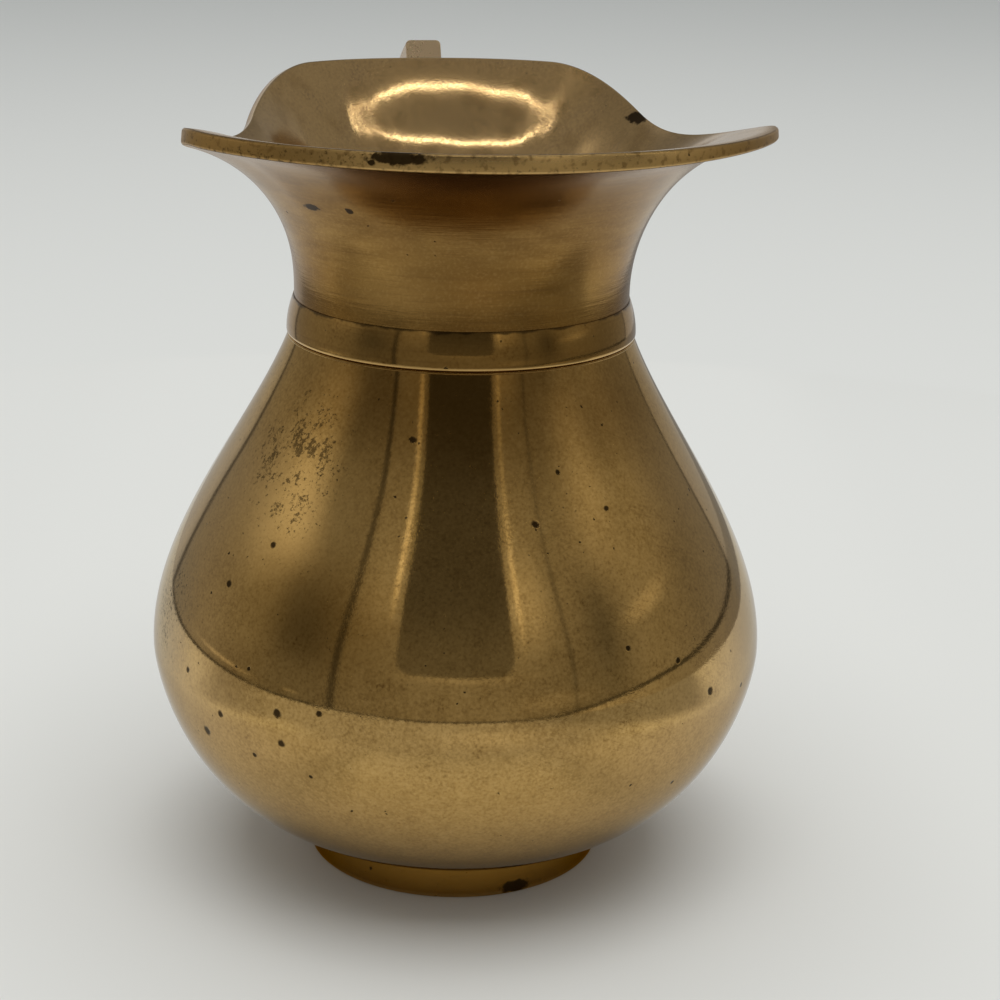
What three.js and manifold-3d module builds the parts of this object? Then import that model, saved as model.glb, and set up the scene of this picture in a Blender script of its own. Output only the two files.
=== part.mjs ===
// A small brass pitcher: a pear-shaped bowl on a ring foot, a turned neck whose lip is folded up
// at the back into a tall tongue, a collar over the joint of bowl and neck, and a strap handle.
// Millimetres, +Z up. The pouring lip faces -Y and the handle +Y.

import * as THREE from "three";
import { mergeVertices } from "three/addons/utils/BufferGeometryUtils.js";
import Module from "manifold-3d";

// Foot ring
const FOOT_RADIUS = 22.0;
const FOOT_TOP_RADIUS = 21.4;
const FOOT_HEIGHT = 5.2;
const FOOT_RING_WIDTH = 3.0;
const FOOT_EDGE_ROUND = 0.6;

// Bowl
const BELLY_RADIUS = 45.0;
const BELLY_HEIGHT = 33.8;
const BOWL_WALL = 2.2;
const SHOULDER_RADIUS = 24.8;
const SHOULDER_HEIGHT = 79.6;

// Curvature of the bowl: leans in degrees, pulls as shares of the width or height that they round
const UNDERSIDE_LEAN = 13;
const UNDERSIDE_PULL = 0.82;
const BELLY_PULL_BELOW = 0.18;
const BELLY_PULL_ABOVE = 0.345;
const SHOULDER_LEAN = 21;
const SHOULDER_PULL = 0.325;

// Collar band, which is thickest low down and leans in to a thin upper edge
const COLLAR_HEIGHT = 5.3;
const COLLAR_THICKNESS = 0.85;
const COLLAR_TOP_THICKNESS = 0.3;
const COLLAR_CLEARANCE = 0.25;
const COLLAR_EDGE_ROUND = 0.5;
const COLLAR_BEND_HEIGHT = 2.3;
const COLLAR_BEND_ROUND = 1.7;

// Neck, which stands on the bowl's spigot inside the collar
const NECK_RADIUS = 24.0;
const NECK_WALL = 2.4;
const SPIGOT_HEIGHT = 2.7;
const FLARE_START_ABOVE_COLLAR = 1.1;
const FLARE_PULL_LOW = 0.365;
const FLARE_PULL_HIGH = 0.4;

// Outer edge of the mouth: a round level lip in front, a notch on each side, a tongue at the back.
// A lean is the slope of the wall where it ends, in degrees.
const LIP_RADIUS = 44.4;
const LIP_HEIGHT = 109.2;
const LIP_LEAN = 5;
const LEFT_WING_WALL = 2.1;
const RIGHT_WING_WALL = 1.55;
const NOTCH_HEIGHT = 105.4;
const TONGUE_HEIGHT = 113.9;
const TONGUE_DEPTH = 34.0;
const TONGUE_HALF_WIDTH = 31.0;
const TONGUE_SQUARENESS = 2.26;
const TONGUE_WALL = 1.75;
const TONGUE_LEAN = 68;
const RIM_EDGE_ROUND = 0.4;

// Where the mouth changes, in degrees round from the lip
const FOLD_ANGLE = 59;
const DIP_ANGLE = 63;
const NOTCH_ANGLE = 96;
const FOLDED_ANGLE = 112;
const TONGUE_CORNER_ANGLE = 146;

// Strap handle
const HANDLE_WIDTH = 5.4;
const HANDLE_THICKNESS = 4.6;
const HANDLE_END_THICKNESS = 8.5;
const HANDLE_CHAMFER = 0.7;
const HANDLE_RISE = 3.4;
const HANDLE_REACH = 59.0;
const HANDLE_ROOT_HEIGHT = 51.0;
const HANDLE_ROOT_SWEEP = 20.0;
const HANDLE_TAPER = 0.3;
const HANDLE_CLEARANCE = 0.3;

// Facets
const ROUND_STEPS = 64;
const MOUTH_STEPS = 88;
const BOWL_STEPS = 9;
const BOWL_INSIDE_STEPS = 6;
const FLARE_STEPS = 11;
const HANDLE_STEPS = 28;
const CORNER_STEPS = 3;
const NORMAL_STEP = 1e-4;

const brass = (color, roughness) => new THREE.MeshStandardMaterial({ color, roughness, metalness: 1.0 });
const BOWL_BRASS = brass(0x9a7434, 0.26);
const NECK_BRASS = brass(0x9d7236, 0.34);
const COLLAR_BRASS = brass(0x94743a, 0.24);
const FOOT_BRASS = brass(0xa8772a, 0.36);
const HANDLE_BRASS = brass(0x9a764a, 0.38);

const { degToRad, lerp, mapLinear, radToDeg, smoothstep } = THREE.MathUtils;
const wasm = await Module();
wasm.setup();

const collarTop = SHOULDER_HEIGHT + COLLAR_HEIGHT;
const jointHeight = SHOULDER_HEIGHT + SPIGOT_HEIGHT;
const flareHeight = collarTop + FLARE_START_ABOVE_COLLAR;

// Radius and height in the half-plane that a turned profile is drawn in.
const at = (radius, height) => new THREE.Vector2(radius, height);

// A point that lies a length away from a start, in a direction given in degrees above level.
function along(start, degrees, length) {
  const angle = degToRad(degrees);
  return at(start.x + length * Math.cos(angle), start.y + length * Math.sin(angle));
}

// A closed profile from corners given as [radius, height, round].
function roundedProfile(corners) {
  const points = corners.flatMap(([radius, height, round], index) => {
    const corner = at(radius, height);
    if (!round) return [corner];
    const neighbours = [corners.at(index - 1), corners[(index + 1) % corners.length]];
    const [start, end] = neighbours.map(([x, y]) => at(x, y).sub(corner).setLength(round).add(corner));
    return new THREE.QuadraticBezierCurve(start, corner, end).getPoints(CORNER_STEPS);
  });
  return [...points, points[0].clone()];
}

function revolve(profile) {
  return new THREE.LatheGeometry(profile, ROUND_STEPS).rotateX(Math.PI / 2);
}

// A surface through rings of equal length. The rings either close on the first or end in flat caps.
function loft(rings, closesOnFirst) {
  const count = rings[0].length;
  const index = [];
  const lastRing = closesOnFirst ? rings.length : rings.length - 1;
  for (let ring = 0; ring < lastRing; ring += 1) {
    const here = ring * count;
    const next = ((ring + 1) % rings.length) * count;
    for (let step = 0; step < count; step += 1) {
      const after = (step + 1) % count;
      index.push(here + step, here + after, next + after, here + step, next + after, next + step);
    }
  }
  if (!closesOnFirst) {
    const end = lastRing * count;
    for (let step = 1; step < count - 1; step += 1) {
      index.push(0, step + 1, step, end, end + step, end + step + 1);
    }
  }
  const geometry = new THREE.BufferGeometry().setFromPoints(rings.flat());
  geometry.setIndex(index);
  return geometry;
}

function toSolid(geometry) {
  const bare = geometry.clone();
  bare.deleteAttribute("normal");
  bare.deleteAttribute("uv");
  const merged = mergeVertices(bare);
  return new wasm.Manifold(new wasm.Mesh({
    numProp: 3,
    vertProperties: merged.getAttribute("position").array,
    triVerts: Uint32Array.from(merged.getIndex().array),
  }));
}

function fromSolid(solid) {
  const { vertProperties, triVerts } = solid.getMesh();
  const geometry = new THREE.BufferGeometry();
  geometry.setAttribute("position", new THREE.BufferAttribute(vertProperties, 3));
  geometry.setIndex(new THREE.BufferAttribute(triVerts, 1));
  return geometry;
}

// The bowl's outside: the underside rounds up to the belly, and the shoulder runs in to the collar.
function bowlCurves() {
  const foot = at(FOOT_TOP_RADIUS, FOOT_HEIGHT);
  const belly = at(BELLY_RADIUS, BELLY_HEIGHT);
  const shoulder = at(SHOULDER_RADIUS, SHOULDER_HEIGHT);
  const rise = shoulder.y - belly.y;
  return [
    new THREE.CubicBezierCurve(
      foot,
      along(foot, UNDERSIDE_LEAN, UNDERSIDE_PULL * (belly.x - foot.x)),
      along(belly, -90, BELLY_PULL_BELOW * (belly.y - foot.y)),
      belly,
    ),
    new THREE.CubicBezierCurve(
      belly,
      along(belly, 90, BELLY_PULL_ABOVE * rise),
      along(shoulder, SHOULDER_LEAN - 90, SHOULDER_PULL * rise),
      shoulder,
    ),
  ];
}

// Points up the bowl's outside, moved outwards by an offset.
function bowlOutline(offset, steps) {
  return bowlCurves().flatMap((curve, index) => {
    const shares = Array.from({ length: steps + 1 }, (_, step) => step / steps);
    return shares.slice(index).map((share) => {
      const tangent = curve.getTangent(share);
      return curve.getPoint(share).addScaledVector(at(tangent.y, -tangent.x), offset);
    });
  });
}

// Outside radius of the bowl at a height on its shoulder.
function shoulderRadius(height) {
  const stations = bowlOutline(0, BOWL_STEPS).slice(BOWL_STEPS);
  const above = stations.findIndex((station) => station.y >= height);
  const [low, high] = [stations[above - 1], stations[above]];
  return mapLinear(height, low.y, high.y, low.x, high.x);
}

function bowlGeometry() {
  const bore = NECK_RADIUS - BOWL_WALL;
  return revolve([
    at(0, FOOT_HEIGHT),
    ...bowlOutline(0, BOWL_STEPS),
    at(NECK_RADIUS, SHOULDER_HEIGHT),
    at(NECK_RADIUS, jointHeight),
    at(bore, jointHeight),
    at(bore, SHOULDER_HEIGHT),
    ...bowlOutline(-BOWL_WALL, BOWL_INSIDE_STEPS).reverse(),
    at(0, FOOT_HEIGHT + BOWL_WALL),
  ]);
}

function footGeometry() {
  return revolve(roundedProfile([
    [FOOT_RADIUS - FOOT_RING_WIDTH, 0, FOOT_EDGE_ROUND],
    [FOOT_RADIUS, 0, FOOT_EDGE_ROUND],
    [FOOT_TOP_RADIUS, FOOT_HEIGHT, 0],
    [FOOT_TOP_RADIUS - FOOT_RING_WIDTH, FOOT_HEIGHT, 0],
  ]));
}

function collarGeometry() {
  const bore = NECK_RADIUS + COLLAR_CLEARANCE;
  const outside = bore + COLLAR_THICKNESS;
  return revolve(roundedProfile([
    [bore, SHOULDER_HEIGHT, 0],
    [outside, SHOULDER_HEIGHT, COLLAR_EDGE_ROUND],
    [outside, SHOULDER_HEIGHT + COLLAR_BEND_HEIGHT, COLLAR_BEND_ROUND],
    [bore + COLLAR_TOP_THICKNESS, collarTop, 0],
    [bore, collarTop, 0],
  ]));
}

// The tongue's plan is a squared oval, flat across the back where the handle sits.
function tongueRadius(turn) {
  const across = Math.abs(Math.sin(turn)) / TONGUE_HALF_WIDTH;
  const back = Math.abs(Math.cos(turn)) / TONGUE_DEPTH;
  return (across ** TONGUE_SQUARENESS + back ** TONGUE_SQUARENESS) ** (-1 / TONGUE_SQUARENESS);
}

// The rim's thickness, hammered thinner from the lip out to the two wings and round to the tongue.
function rimWall(turn) {
  const round = radToDeg(Math.abs(turn));
  const wing = turn > 0 ? RIGHT_WING_WALL : LEFT_WING_WALL;
  const front = lerp(NECK_WALL, wing, smoothstep(round, 0, FOLD_ANGLE));
  return lerp(front, TONGUE_WALL, smoothstep(round, NOTCH_ANGLE, TONGUE_CORNER_ANGLE));
}

// The wall's run up one side of the mouth, at a turn in radians from the lip: upright at the neck,
// then out to the rim. The lip folds in and up to the tongue as the turn goes round.
function flareCurve(turn) {
  const round = radToDeg(Math.abs(turn));
  const folded = smoothstep(round, FOLD_ANGLE, FOLDED_ANGLE);
  const dipped = lerp(LIP_HEIGHT, NOTCH_HEIGHT, smoothstep(round, DIP_ANGLE, NOTCH_ANGLE));
  const height = lerp(dipped, TONGUE_HEIGHT, smoothstep(round, NOTCH_ANGLE, TONGUE_CORNER_ANGLE));
  const lean = lerp(LIP_LEAN, TONGUE_LEAN, smoothstep(round, FOLD_ANGLE, TONGUE_CORNER_ANGLE));
  const neck = at(NECK_RADIUS, flareHeight);
  const thinnedBelow = (NECK_WALL - rimWall(turn)) / 2;
  const rim = at(lerp(LIP_RADIUS, tongueRadius(turn), folded), height + thinnedBelow);
  const chord = neck.distanceTo(rim);
  return new THREE.CubicBezierCurve(
    neck,
    along(neck, 90, FLARE_PULL_LOW * chord),
    along(rim, lean, -FLARE_PULL_HIGH * chord),
    rim,
  );
}

function turned(turn, { x: radius, y: height }) {
  return new THREE.Vector3(radius * Math.sin(turn), -radius * Math.cos(turn), height);
}

// A point of the neck's outside with the wall's outward normal there and its direction up the wall.
function flareFrame(turn, share) {
  const spot = turned(turn, flareCurve(turn).getPoint(share));
  const up = turned(turn, flareCurve(turn).getTangent(share));
  const [before, after] = [-NORMAL_STEP, NORMAL_STEP].map(
    (step) => turned(turn + step, flareCurve(turn + step).getPoint(share)),
  );
  const normal = after.sub(before).cross(up).normalize();
  return { spot, normal, up };
}

// One closed section of the neck's wall: up the outside, over the rounded rim and down the inside.
function neckSection(turn) {
  const shares = Array.from({ length: FLARE_STEPS }, (_, step) => step / FLARE_STEPS);
  const frames = shares.map((share) => flareFrame(turn, share));
  const outside = frames.map(({ spot }) => spot);
  const wall = rimWall(turn);
  const inside = frames.map(({ spot, normal }, step) => (
    spot.clone().addScaledVector(normal, -lerp(NECK_WALL, wall, shares[step]))
  ));
  const { spot, normal, up } = flareFrame(turn, 1);
  const rimPoint = (depth, back) => spot.clone().addScaledVector(normal, -depth).addScaledVector(up, -back);
  const soft = RIM_EDGE_ROUND;
  const rim = [
    rimPoint(0, soft),
    rimPoint(soft / 4, soft / 4),
    rimPoint(soft, 0),
    rimPoint(wall - soft, 0),
    rimPoint(wall - soft / 4, soft / 4),
    rimPoint(wall, soft),
  ];
  return [
    turned(turn, at(NECK_RADIUS, jointHeight)),
    ...outside,
    ...rim,
    ...inside.reverse(),
    turned(turn, at(NECK_RADIUS - NECK_WALL, jointHeight)),
  ];
}

function neckGeometry() {
  const turns = Array.from({ length: MOUTH_STEPS }, (_, step) => (1 - (2 * step) / MOUTH_STEPS) * Math.PI);
  return loft(turns.map(neckSection), true);
}

// The handle's outer line, seen from the side: square off the tongue, round and down to the belly.
function handleSpine() {
  const square = TONGUE_LEAN - 90;
  const top = along(flareCurve(Math.PI).v3, TONGUE_LEAN, HANDLE_RISE);
  const start = along(top, square, -NECK_WALL);
  const end = at(shoulderRadius(HANDLE_ROOT_HEIGHT) - BOWL_WALL, HANDLE_ROOT_HEIGHT);
  // The curve's middle takes an eighth of each end and three eighths of each pull.
  const bulge = (8 * HANDLE_REACH - start.x - end.x) / 6;
  return new THREE.CubicBezierCurve(
    start,
    at(bulge, start.y + (bulge - start.x) * Math.tan(degToRad(square))),
    at(bulge, end.y + HANDLE_ROOT_SWEEP),
    end,
  );
}

function handleSection(spine, share) {
  const spot = spine.getPoint(share);
  const tangent = spine.getTangent(share);
  const inwards = at(tangent.y, -tangent.x);
  const middle = smoothstep(share, 0, HANDLE_TAPER) * smoothstep(1 - share, 0, HANDLE_TAPER);
  const depth = lerp(HANDLE_END_THICKNESS, HANDLE_THICKNESS, middle);
  const half = HANDLE_WIDTH / 2;
  const corners = [
    [-half, HANDLE_CHAMFER],
    [HANDLE_CHAMFER - half, 0],
    [half - HANDLE_CHAMFER, 0],
    [half, HANDLE_CHAMFER],
    [half, depth - HANDLE_CHAMFER],
    [half - HANDLE_CHAMFER, depth],
    [HANDLE_CHAMFER - half, depth],
    [-half, depth - HANDLE_CHAMFER],
  ];
  return corners.map(([across, below]) => {
    const side = spot.clone().addScaledVector(inwards, below);
    return new THREE.Vector3(across, side.x, side.y);
  });
}

// What the handle is cut back from: the bowl, and the back of the tongue carried on above its rim.
function handleSeats() {
  const bowl = bowlOutline(HANDLE_CLEARANCE, BOWL_STEPS);
  const bowlSeat = revolve([at(0, bowl[0].y), ...bowl, at(0, bowl.at(-1).y)]);
  const curve = flareCurve(Math.PI);
  const shares = Array.from({ length: FLARE_STEPS + 1 }, (_, step) => step / FLARE_STEPS);
  const back = shares.map((share) => {
    const tangent = curve.getTangent(share);
    return curve.getPoint(share).addScaledVector(at(tangent.y, -tangent.x), HANDLE_CLEARANCE);
  });
  const above = along(back.at(-1), TONGUE_LEAN, 2 * HANDLE_RISE + NECK_WALL);
  const tongue = new THREE.Shape([at(0, back[0].y), ...back, above, at(0, above.y)]);
  const tongueSeat = new THREE.ExtrudeGeometry(tongue, { depth: 2 * HANDLE_WIDTH, bevelEnabled: false });
  tongueSeat.translate(0, 0, -HANDLE_WIDTH);
  tongueSeat.applyMatrix4(new THREE.Matrix4().makeBasis(
    new THREE.Vector3(0, 1, 0),
    new THREE.Vector3(0, 0, 1),
    new THREE.Vector3(1, 0, 0),
  ));
  return [bowlSeat, tongueSeat];
}

function handleGeometry() {
  const spine = handleSpine();
  const shares = Array.from({ length: HANDLE_STEPS + 1 }, (_, step) => step / HANDLE_STEPS);
  const strap = toSolid(loft(shares.map((share) => handleSection(spine, share)), false));
  const cut = handleSeats().reduce((solid, seat) => solid.subtract(toSolid(seat)), strap);
  return fromSolid(cut);
}

const pitcher = new THREE.Group();
const pieces = [
  ["foot_ring", footGeometry(), FOOT_BRASS],
  ["body_bowl", bowlGeometry(), BOWL_BRASS],
  ["collar_band", collarGeometry(), COLLAR_BRASS],
  ["neck_mouth", neckGeometry(), NECK_BRASS],
  ["handle", handleGeometry(), HANDLE_BRASS],
];
for (const [name, geometry, material] of pieces) {
  const mesh = new THREE.Mesh(geometry, material);
  mesh.name = name;
  pitcher.add(mesh);
}

// The origin lies on the table, under the middle of the whole outline.
const middle = new THREE.Box3().setFromObject(pitcher).getCenter(new THREE.Vector3());
pitcher.position.set(-middle.x, -middle.y, 0);

const assembly = new THREE.Group();
assembly.add(pitcher);

export default assembly;
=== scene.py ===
"""A small brass pitcher: turned bowl, folded mouth, collar, foot and strap handle in aged brass.

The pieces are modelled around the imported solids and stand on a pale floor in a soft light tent.
"""

import math

import bpy
from bpy.props import FloatProperty, FloatVectorProperty, IntProperty, PointerProperty
from mathutils import Matrix, Vector, kdtree


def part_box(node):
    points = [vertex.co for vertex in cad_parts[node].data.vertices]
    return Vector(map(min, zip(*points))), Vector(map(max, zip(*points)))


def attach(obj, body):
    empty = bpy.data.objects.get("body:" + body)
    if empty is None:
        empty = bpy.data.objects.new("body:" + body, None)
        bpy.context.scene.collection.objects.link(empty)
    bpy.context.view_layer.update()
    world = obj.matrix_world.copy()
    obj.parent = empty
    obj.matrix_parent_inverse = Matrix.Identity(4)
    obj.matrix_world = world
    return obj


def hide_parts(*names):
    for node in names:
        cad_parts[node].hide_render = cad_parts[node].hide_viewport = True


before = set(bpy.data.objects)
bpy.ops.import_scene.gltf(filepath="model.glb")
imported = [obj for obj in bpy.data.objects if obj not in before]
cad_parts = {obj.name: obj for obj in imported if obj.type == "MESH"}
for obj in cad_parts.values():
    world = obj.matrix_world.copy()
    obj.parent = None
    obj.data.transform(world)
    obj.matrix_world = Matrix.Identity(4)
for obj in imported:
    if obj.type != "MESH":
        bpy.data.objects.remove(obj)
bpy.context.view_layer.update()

bl_info = {
    "name": "Brass Pitcher",
    "version": (1, 0, 0),
    "blender": (4, 5, 0),
    "location": "3D View > Sidebar > Pitcher",
    "description": "Models a small turned brass pitcher around its packed solids",
    "category": "Add Mesh",
}

MM = 0.001
FOOT_LOW, FOOT_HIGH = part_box("foot_ring")
BOWL_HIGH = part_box("body_bowl")[1]
COLLAR_LOW, COLLAR_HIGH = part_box("collar_band")
NECK_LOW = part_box("neck_mouth")[0]
AXIS_Y = (FOOT_LOW.y + FOOT_HIGH.y) / 2
AXIS = Vector((0.0, AXIS_Y, 0.0))


def length(name, description, default):
    return FloatProperty(
        name=name, description=description, default=default, min=0.0, precision=5,
        unit="LENGTH", subtype="DISTANCE",
    )


def angle(name, description, degrees):
    return FloatProperty(
        name=name, description=description, default=math.radians(degrees),
        unit="ROTATION", subtype="ANGLE",
    )


def share(name, description, default):
    return FloatProperty(
        name=name, description=description, default=default, min=0.0, max=1.0, subtype="FACTOR",
    )


def colour(name, description, default):
    return FloatVectorProperty(
        name=name, description=description, default=default, min=0.0, max=1.0, size=3, subtype="COLOR",
    )


def brightness(name, description, default):
    return FloatProperty(name=name, description=description, default=default, min=0.0)


def count(name, description, default):
    return IntProperty(name=name, description=description, default=default, min=3)


class PitcherSizes(bpy.types.PropertyGroup):
    """Sizes of the pitcher's pieces."""

    foot_radius: length("Foot radius", "Outside radius of the foot where it stands", 22.0 * MM)
    foot_top_radius: length("Foot top radius", "Outside radius of the foot under the bowl", 21.4 * MM)
    foot_height: length("Foot height", "Height of the foot ring", FOOT_HIGH.z)
    foot_ring_width: length("Foot ring width", "Width of the ring that stands on the table", 3.0 * MM)
    foot_edge_round: length("Foot edge round", "Rounding of the foot's lower edges", 0.6 * MM)

    belly_radius: length("Belly radius", "Outside radius of the bowl at its widest", BOWL_HIGH.x)
    belly_height: length("Belly height", "Height of the widest part", 33.8 * MM)
    bowl_wall: length("Bowl wall", "Thickness of the bowl's wall", 2.2 * MM)
    shoulder_radius: length("Shoulder radius", "Outside radius of the bowl at the collar", 24.8 * MM)
    shoulder_height: length("Shoulder height", "Height of the ledge that carries the collar", COLLAR_LOW.z)
    underside_lean: angle("Underside lean", "Slope of the underside at the foot", 13)
    underside_pull: share("Underside pull", "How far the underside runs straight", 0.82)
    belly_pull_below: share("Belly pull below", "Roundness just below the belly", 0.18)
    belly_pull_above: share("Belly pull above", "Roundness just above the belly", 0.345)
    shoulder_lean: angle("Shoulder lean", "Slope of the shoulder off upright at the collar", 21)
    shoulder_pull: share("Shoulder pull", "How far the shoulder runs straight", 0.325)

    collar_radius: length("Collar radius", "Outside radius of the collar", COLLAR_HIGH.x)
    collar_top: length("Collar top", "Height of the collar's upper edge", COLLAR_HIGH.z)
    collar_top_radius: length("Collar top radius", "Outside radius of the thin upper edge", 24.15 * MM)
    collar_lean: angle("Collar lean", "Slope of the collar off upright at its upper edge", 20)
    collar_clearance: length("Collar clearance", "Gap between the collar and the neck", 0.04 * MM)
    collar_edge_round: length("Collar edge round", "Rounding of the collar's lower edge", 0.5 * MM)
    shoulder_bead: length("Shoulder bead", "Radius of the rolled edge under the collar", 0.2 * MM)

    neck_radius: length("Neck radius", "Outside radius of the neck inside the collar", 24.0 * MM)
    neck_wall: length("Neck wall", "Thickness of the neck's wall", 2.4 * MM)
    neck_bottom: length("Neck bottom", "Height where the neck stands on the bowl", NECK_LOW.z)
    flare_height: length("Flare height", "Height where the neck starts to open", COLLAR_HIGH.z + 1.1 * MM)
    flare_pull_low: share("Flare pull low", "How far the neck runs upright", 0.365)
    flare_pull_high: share("Flare pull high", "How far the wall runs straight to the rim", 0.4)

    lip_radius: length("Lip radius", "Radius of the pouring lip", 44.4 * MM)
    lip_height: length("Lip height", "Height of the lip's outer edge", 109.2 * MM)
    lip_lean: angle("Lip lean", "Slope of the wall at the lip", 5)
    left_wing_wall: length("Left wing wall", "Thickness of the rim at the left wing", 2.1 * MM)
    right_wing_wall: length("Right wing wall", "Thickness of the rim at the right wing", 1.55 * MM)
    notch_height: length("Notch height", "Height of the rim at the notch on each side", 105.4 * MM)
    tongue_height: length("Tongue height", "Height of the raised tongue's outer edge", 113.9 * MM)
    tongue_depth: length("Tongue depth", "How far the tongue lies behind the axis", 34.0 * MM)
    tongue_half_width: length("Tongue half width", "Half the width of the tongue's plan", 31.0 * MM)
    tongue_squareness: FloatProperty(
        name="Tongue squareness", description="2 is an oval plan, more is squarer", default=2.26, min=2.0,
    )
    tongue_wall: length("Tongue wall", "Thickness of the rim at the tongue", 1.75 * MM)
    tongue_lean: angle("Tongue lean", "Slope of the wall at the tongue", 68)
    tongue_pull_low: share("Tongue pull low", "How far the neck runs upright below the tongue", 0.352)
    tongue_pull_high: share("Tongue pull high", "How far the wall runs straight to the tongue's rim", 0.42)
    rim_edge_round: length("Rim edge round", "Rounding of the rim's edges", 0.4 * MM)
    fold_angle: angle("Fold angle", "Where the lip starts to fold in, round from the front", 59)
    dip_angle: angle("Dip angle", "Where the rim starts to dip", 63)
    notch_angle: angle("Notch angle", "Where the rim is lowest", 96)
    folded_angle: angle("Folded angle", "Where the lip has its tongue's plan", 112)
    corner_angle: angle("Corner angle", "Where the tongue has its full height", 146)

    handle_width: length("Handle width", "Width of the strap handle", 5.4 * MM)
    handle_thickness: length("Handle thickness", "Thickness of the strap at its middle", 4.6 * MM)
    handle_end_thickness: length("Handle end thickness", "Thickness of the strap at its ends", 8.5 * MM)
    handle_edge_round: length("Handle edge round", "Rounding of the strap's edges", 0.7 * MM)
    handle_rise: length("Handle rise", "How far the strap's top stands above the tongue", 3.05 * MM)
    handle_reach: length("Handle reach", "How far the strap's back lies behind the axis", 58.9 * MM)
    handle_root_height: length("Handle root height", "Height of the strap's lower end", 51.0 * MM)
    handle_root_sweep: length("Handle root sweep", "How far the strap falls towards its lower end", 20.0 * MM)
    handle_taper: share("Handle taper", "Share of the strap that thickens at each end", 0.3)
    handle_seat: length("Handle seat", "How far the brazed ends sit in the walls", 0.3 * MM)

    round_steps: count("Round steps", "Steps round the turned pieces", 256)
    mouth_steps: count("Mouth steps", "Steps round the folded mouth", 320)
    handle_steps: count("Handle steps", "Steps along the handle", 96)


class BrassColours(bpy.types.PropertyGroup):
    """Colours of the brass and what time left on it."""

    # Pale brass also paints the sheen where the bowl is seen at a slant.
    pale: colour("Pale brass", "Brass that was filed or rubbed bare", (0.66, 0.525, 0.380))
    # Worn brass also paints a highlight on the bowl's left side.
    worn_and_highlight: colour("Worn brass", "Brass on edges that hands rub", (0.72, 0.480, 0.190))
    bright: colour("Bright brass", "Brass where it is polished clean", (0.62, 0.400, 0.142))
    dull: colour("Dull brass", "Brass under a thin tarnish", (0.44, 0.270, 0.085))
    # Brown also paints shade at the bowl's lower right edge.
    # Brown also paints the dark reflection on the neck's front.
    brown: colour("Brown tarnish", "Thick tarnish in the lows", (0.20, 0.105, 0.030))
    smoke: colour("Smoky tarnish", "Darkest tarnish of the neck", (0.105, 0.048, 0.008))
    amber: colour("Amber tarnish", "Thick warm tarnish of the foot", (0.26, 0.128, 0.018))
    grey: colour("Grey tarnish", "Old grey tarnish round the belly", (0.17, 0.140, 0.100))
    dirt: colour("Pit dirt", "Dirt in the pits and stains", (0.030, 0.017, 0.007))


class StageSettings(bpy.types.PropertyGroup):
    """Camera, floor and light."""

    turn: angle("Turn", "How far the camera stands round from the lip", -11.0)
    camera_distance: length("Camera distance", "Level distance from the axis to the camera", 309.9 * MM)
    camera_height: length("Camera height", "Height of the camera", 151.9 * MM)
    camera_pitch: angle("Camera pitch", "How far the camera looks down", 17.527)
    camera_heading: angle("Camera heading", "How far the camera looks right of the axis", 1.134)
    camera_roll: angle("Camera roll", "How far the camera is rolled", 1.3)
    lens: FloatProperty(name="Lens", description="Focal length", default=79.2, unit="CAMERA")
    tent_radius: length("Tent radius", "Distance from the axis to the tent's walls", 312.0 * MM)
    tent_height: length("Tent height", "Height of the tent's ceiling", 600.0 * MM)
    door_half_turn: angle("Door half turn", "Half the width of the tent's doorway", 20.5)
    door_sill: length("Door sill", "Height of the doorway's sill", 103.0 * MM)
    door_corner: length("Door corner", "Rounding of the doorway's lower corners", 32.0 * MM)
    strip_width: length("Strip width", "Half the strip's width", 5.0 * MM)
    strip_glow: brightness("Strip glow", "Brightness of the strip", 6.0)
    high_glow: brightness("High glow", "Brightness of the wall's upper part", 0.29)
    ceiling_glow: brightness("Ceiling glow", "Brightness of the ceiling", 0.40)
    wall_colour: colour("Wall colour", "Light from the tent's walls", (1.0, 0.94, 0.80))
    back_colour: colour("Back colour", "Light from the tent's back", (1.0, 0.99, 0.96))
    lamp_height: length("Lamp height", "Height of the soft lamp", 1.5)
    lamp_forward: length("Lamp forward", "How far the lamp hangs towards the camera", 0.2)
    lamp_aside: length("Lamp aside", "How far the lamp hangs to the right", 0.06)
    lamp_size: length("Lamp size", "Side of the soft lamp", 1.6)
    lamp_power: FloatProperty(name="Lamp power", description="Power of the lamp", default=19.0, unit="POWER")
    air_glow: brightness("Air glow", "Light from all round", 0.52)
    floor_colour: colour("Floor colour", "Pale floor", (0.74, 0.735, 0.70))


# Curves in the half-plane that a turned profile is drawn in: x is the radius and y the height.

ROUND_PULL = 0.55  # How far a curve's handles reach towards the corner that it rounds
HALVINGS = 40


def at(radius, height):
    return Vector((radius, height))


def along(start, direction, distance):
    return start + distance * Vector((math.cos(direction), math.sin(direction)))


def lerp(start, end, amount):
    return start + (end - start) * amount


def smooth(value, low, high):
    amount = min(max((value - low) / (high - low), 0.0), 1.0)
    return amount * amount * (3.0 - 2.0 * amount)


def bezier(curve, amount):
    a, b, c, d = curve
    rest = 1.0 - amount
    return rest ** 3 * a + 3 * rest ** 2 * amount * b + 3 * rest * amount ** 2 * c + amount ** 3 * d


def bezier_slope(curve, amount):
    a, b, c, d = curve
    rest = 1.0 - amount
    slope = rest ** 2 * (b - a) + 2 * rest * amount * (c - b) + amount ** 2 * (d - c)
    return slope.normalized()


def steps_between(start, end, number):
    return [lerp(start, end, step / number) for step in range(number + 1)]


def last_true(low, high, test):
    """Where a test that holds at low stops holding on the way to high, found by halving."""
    for _ in range(HALVINGS):
        middle = (low + high) / 2
        if test(middle):
            low = middle
        else:
            high = middle
    return low


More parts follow.
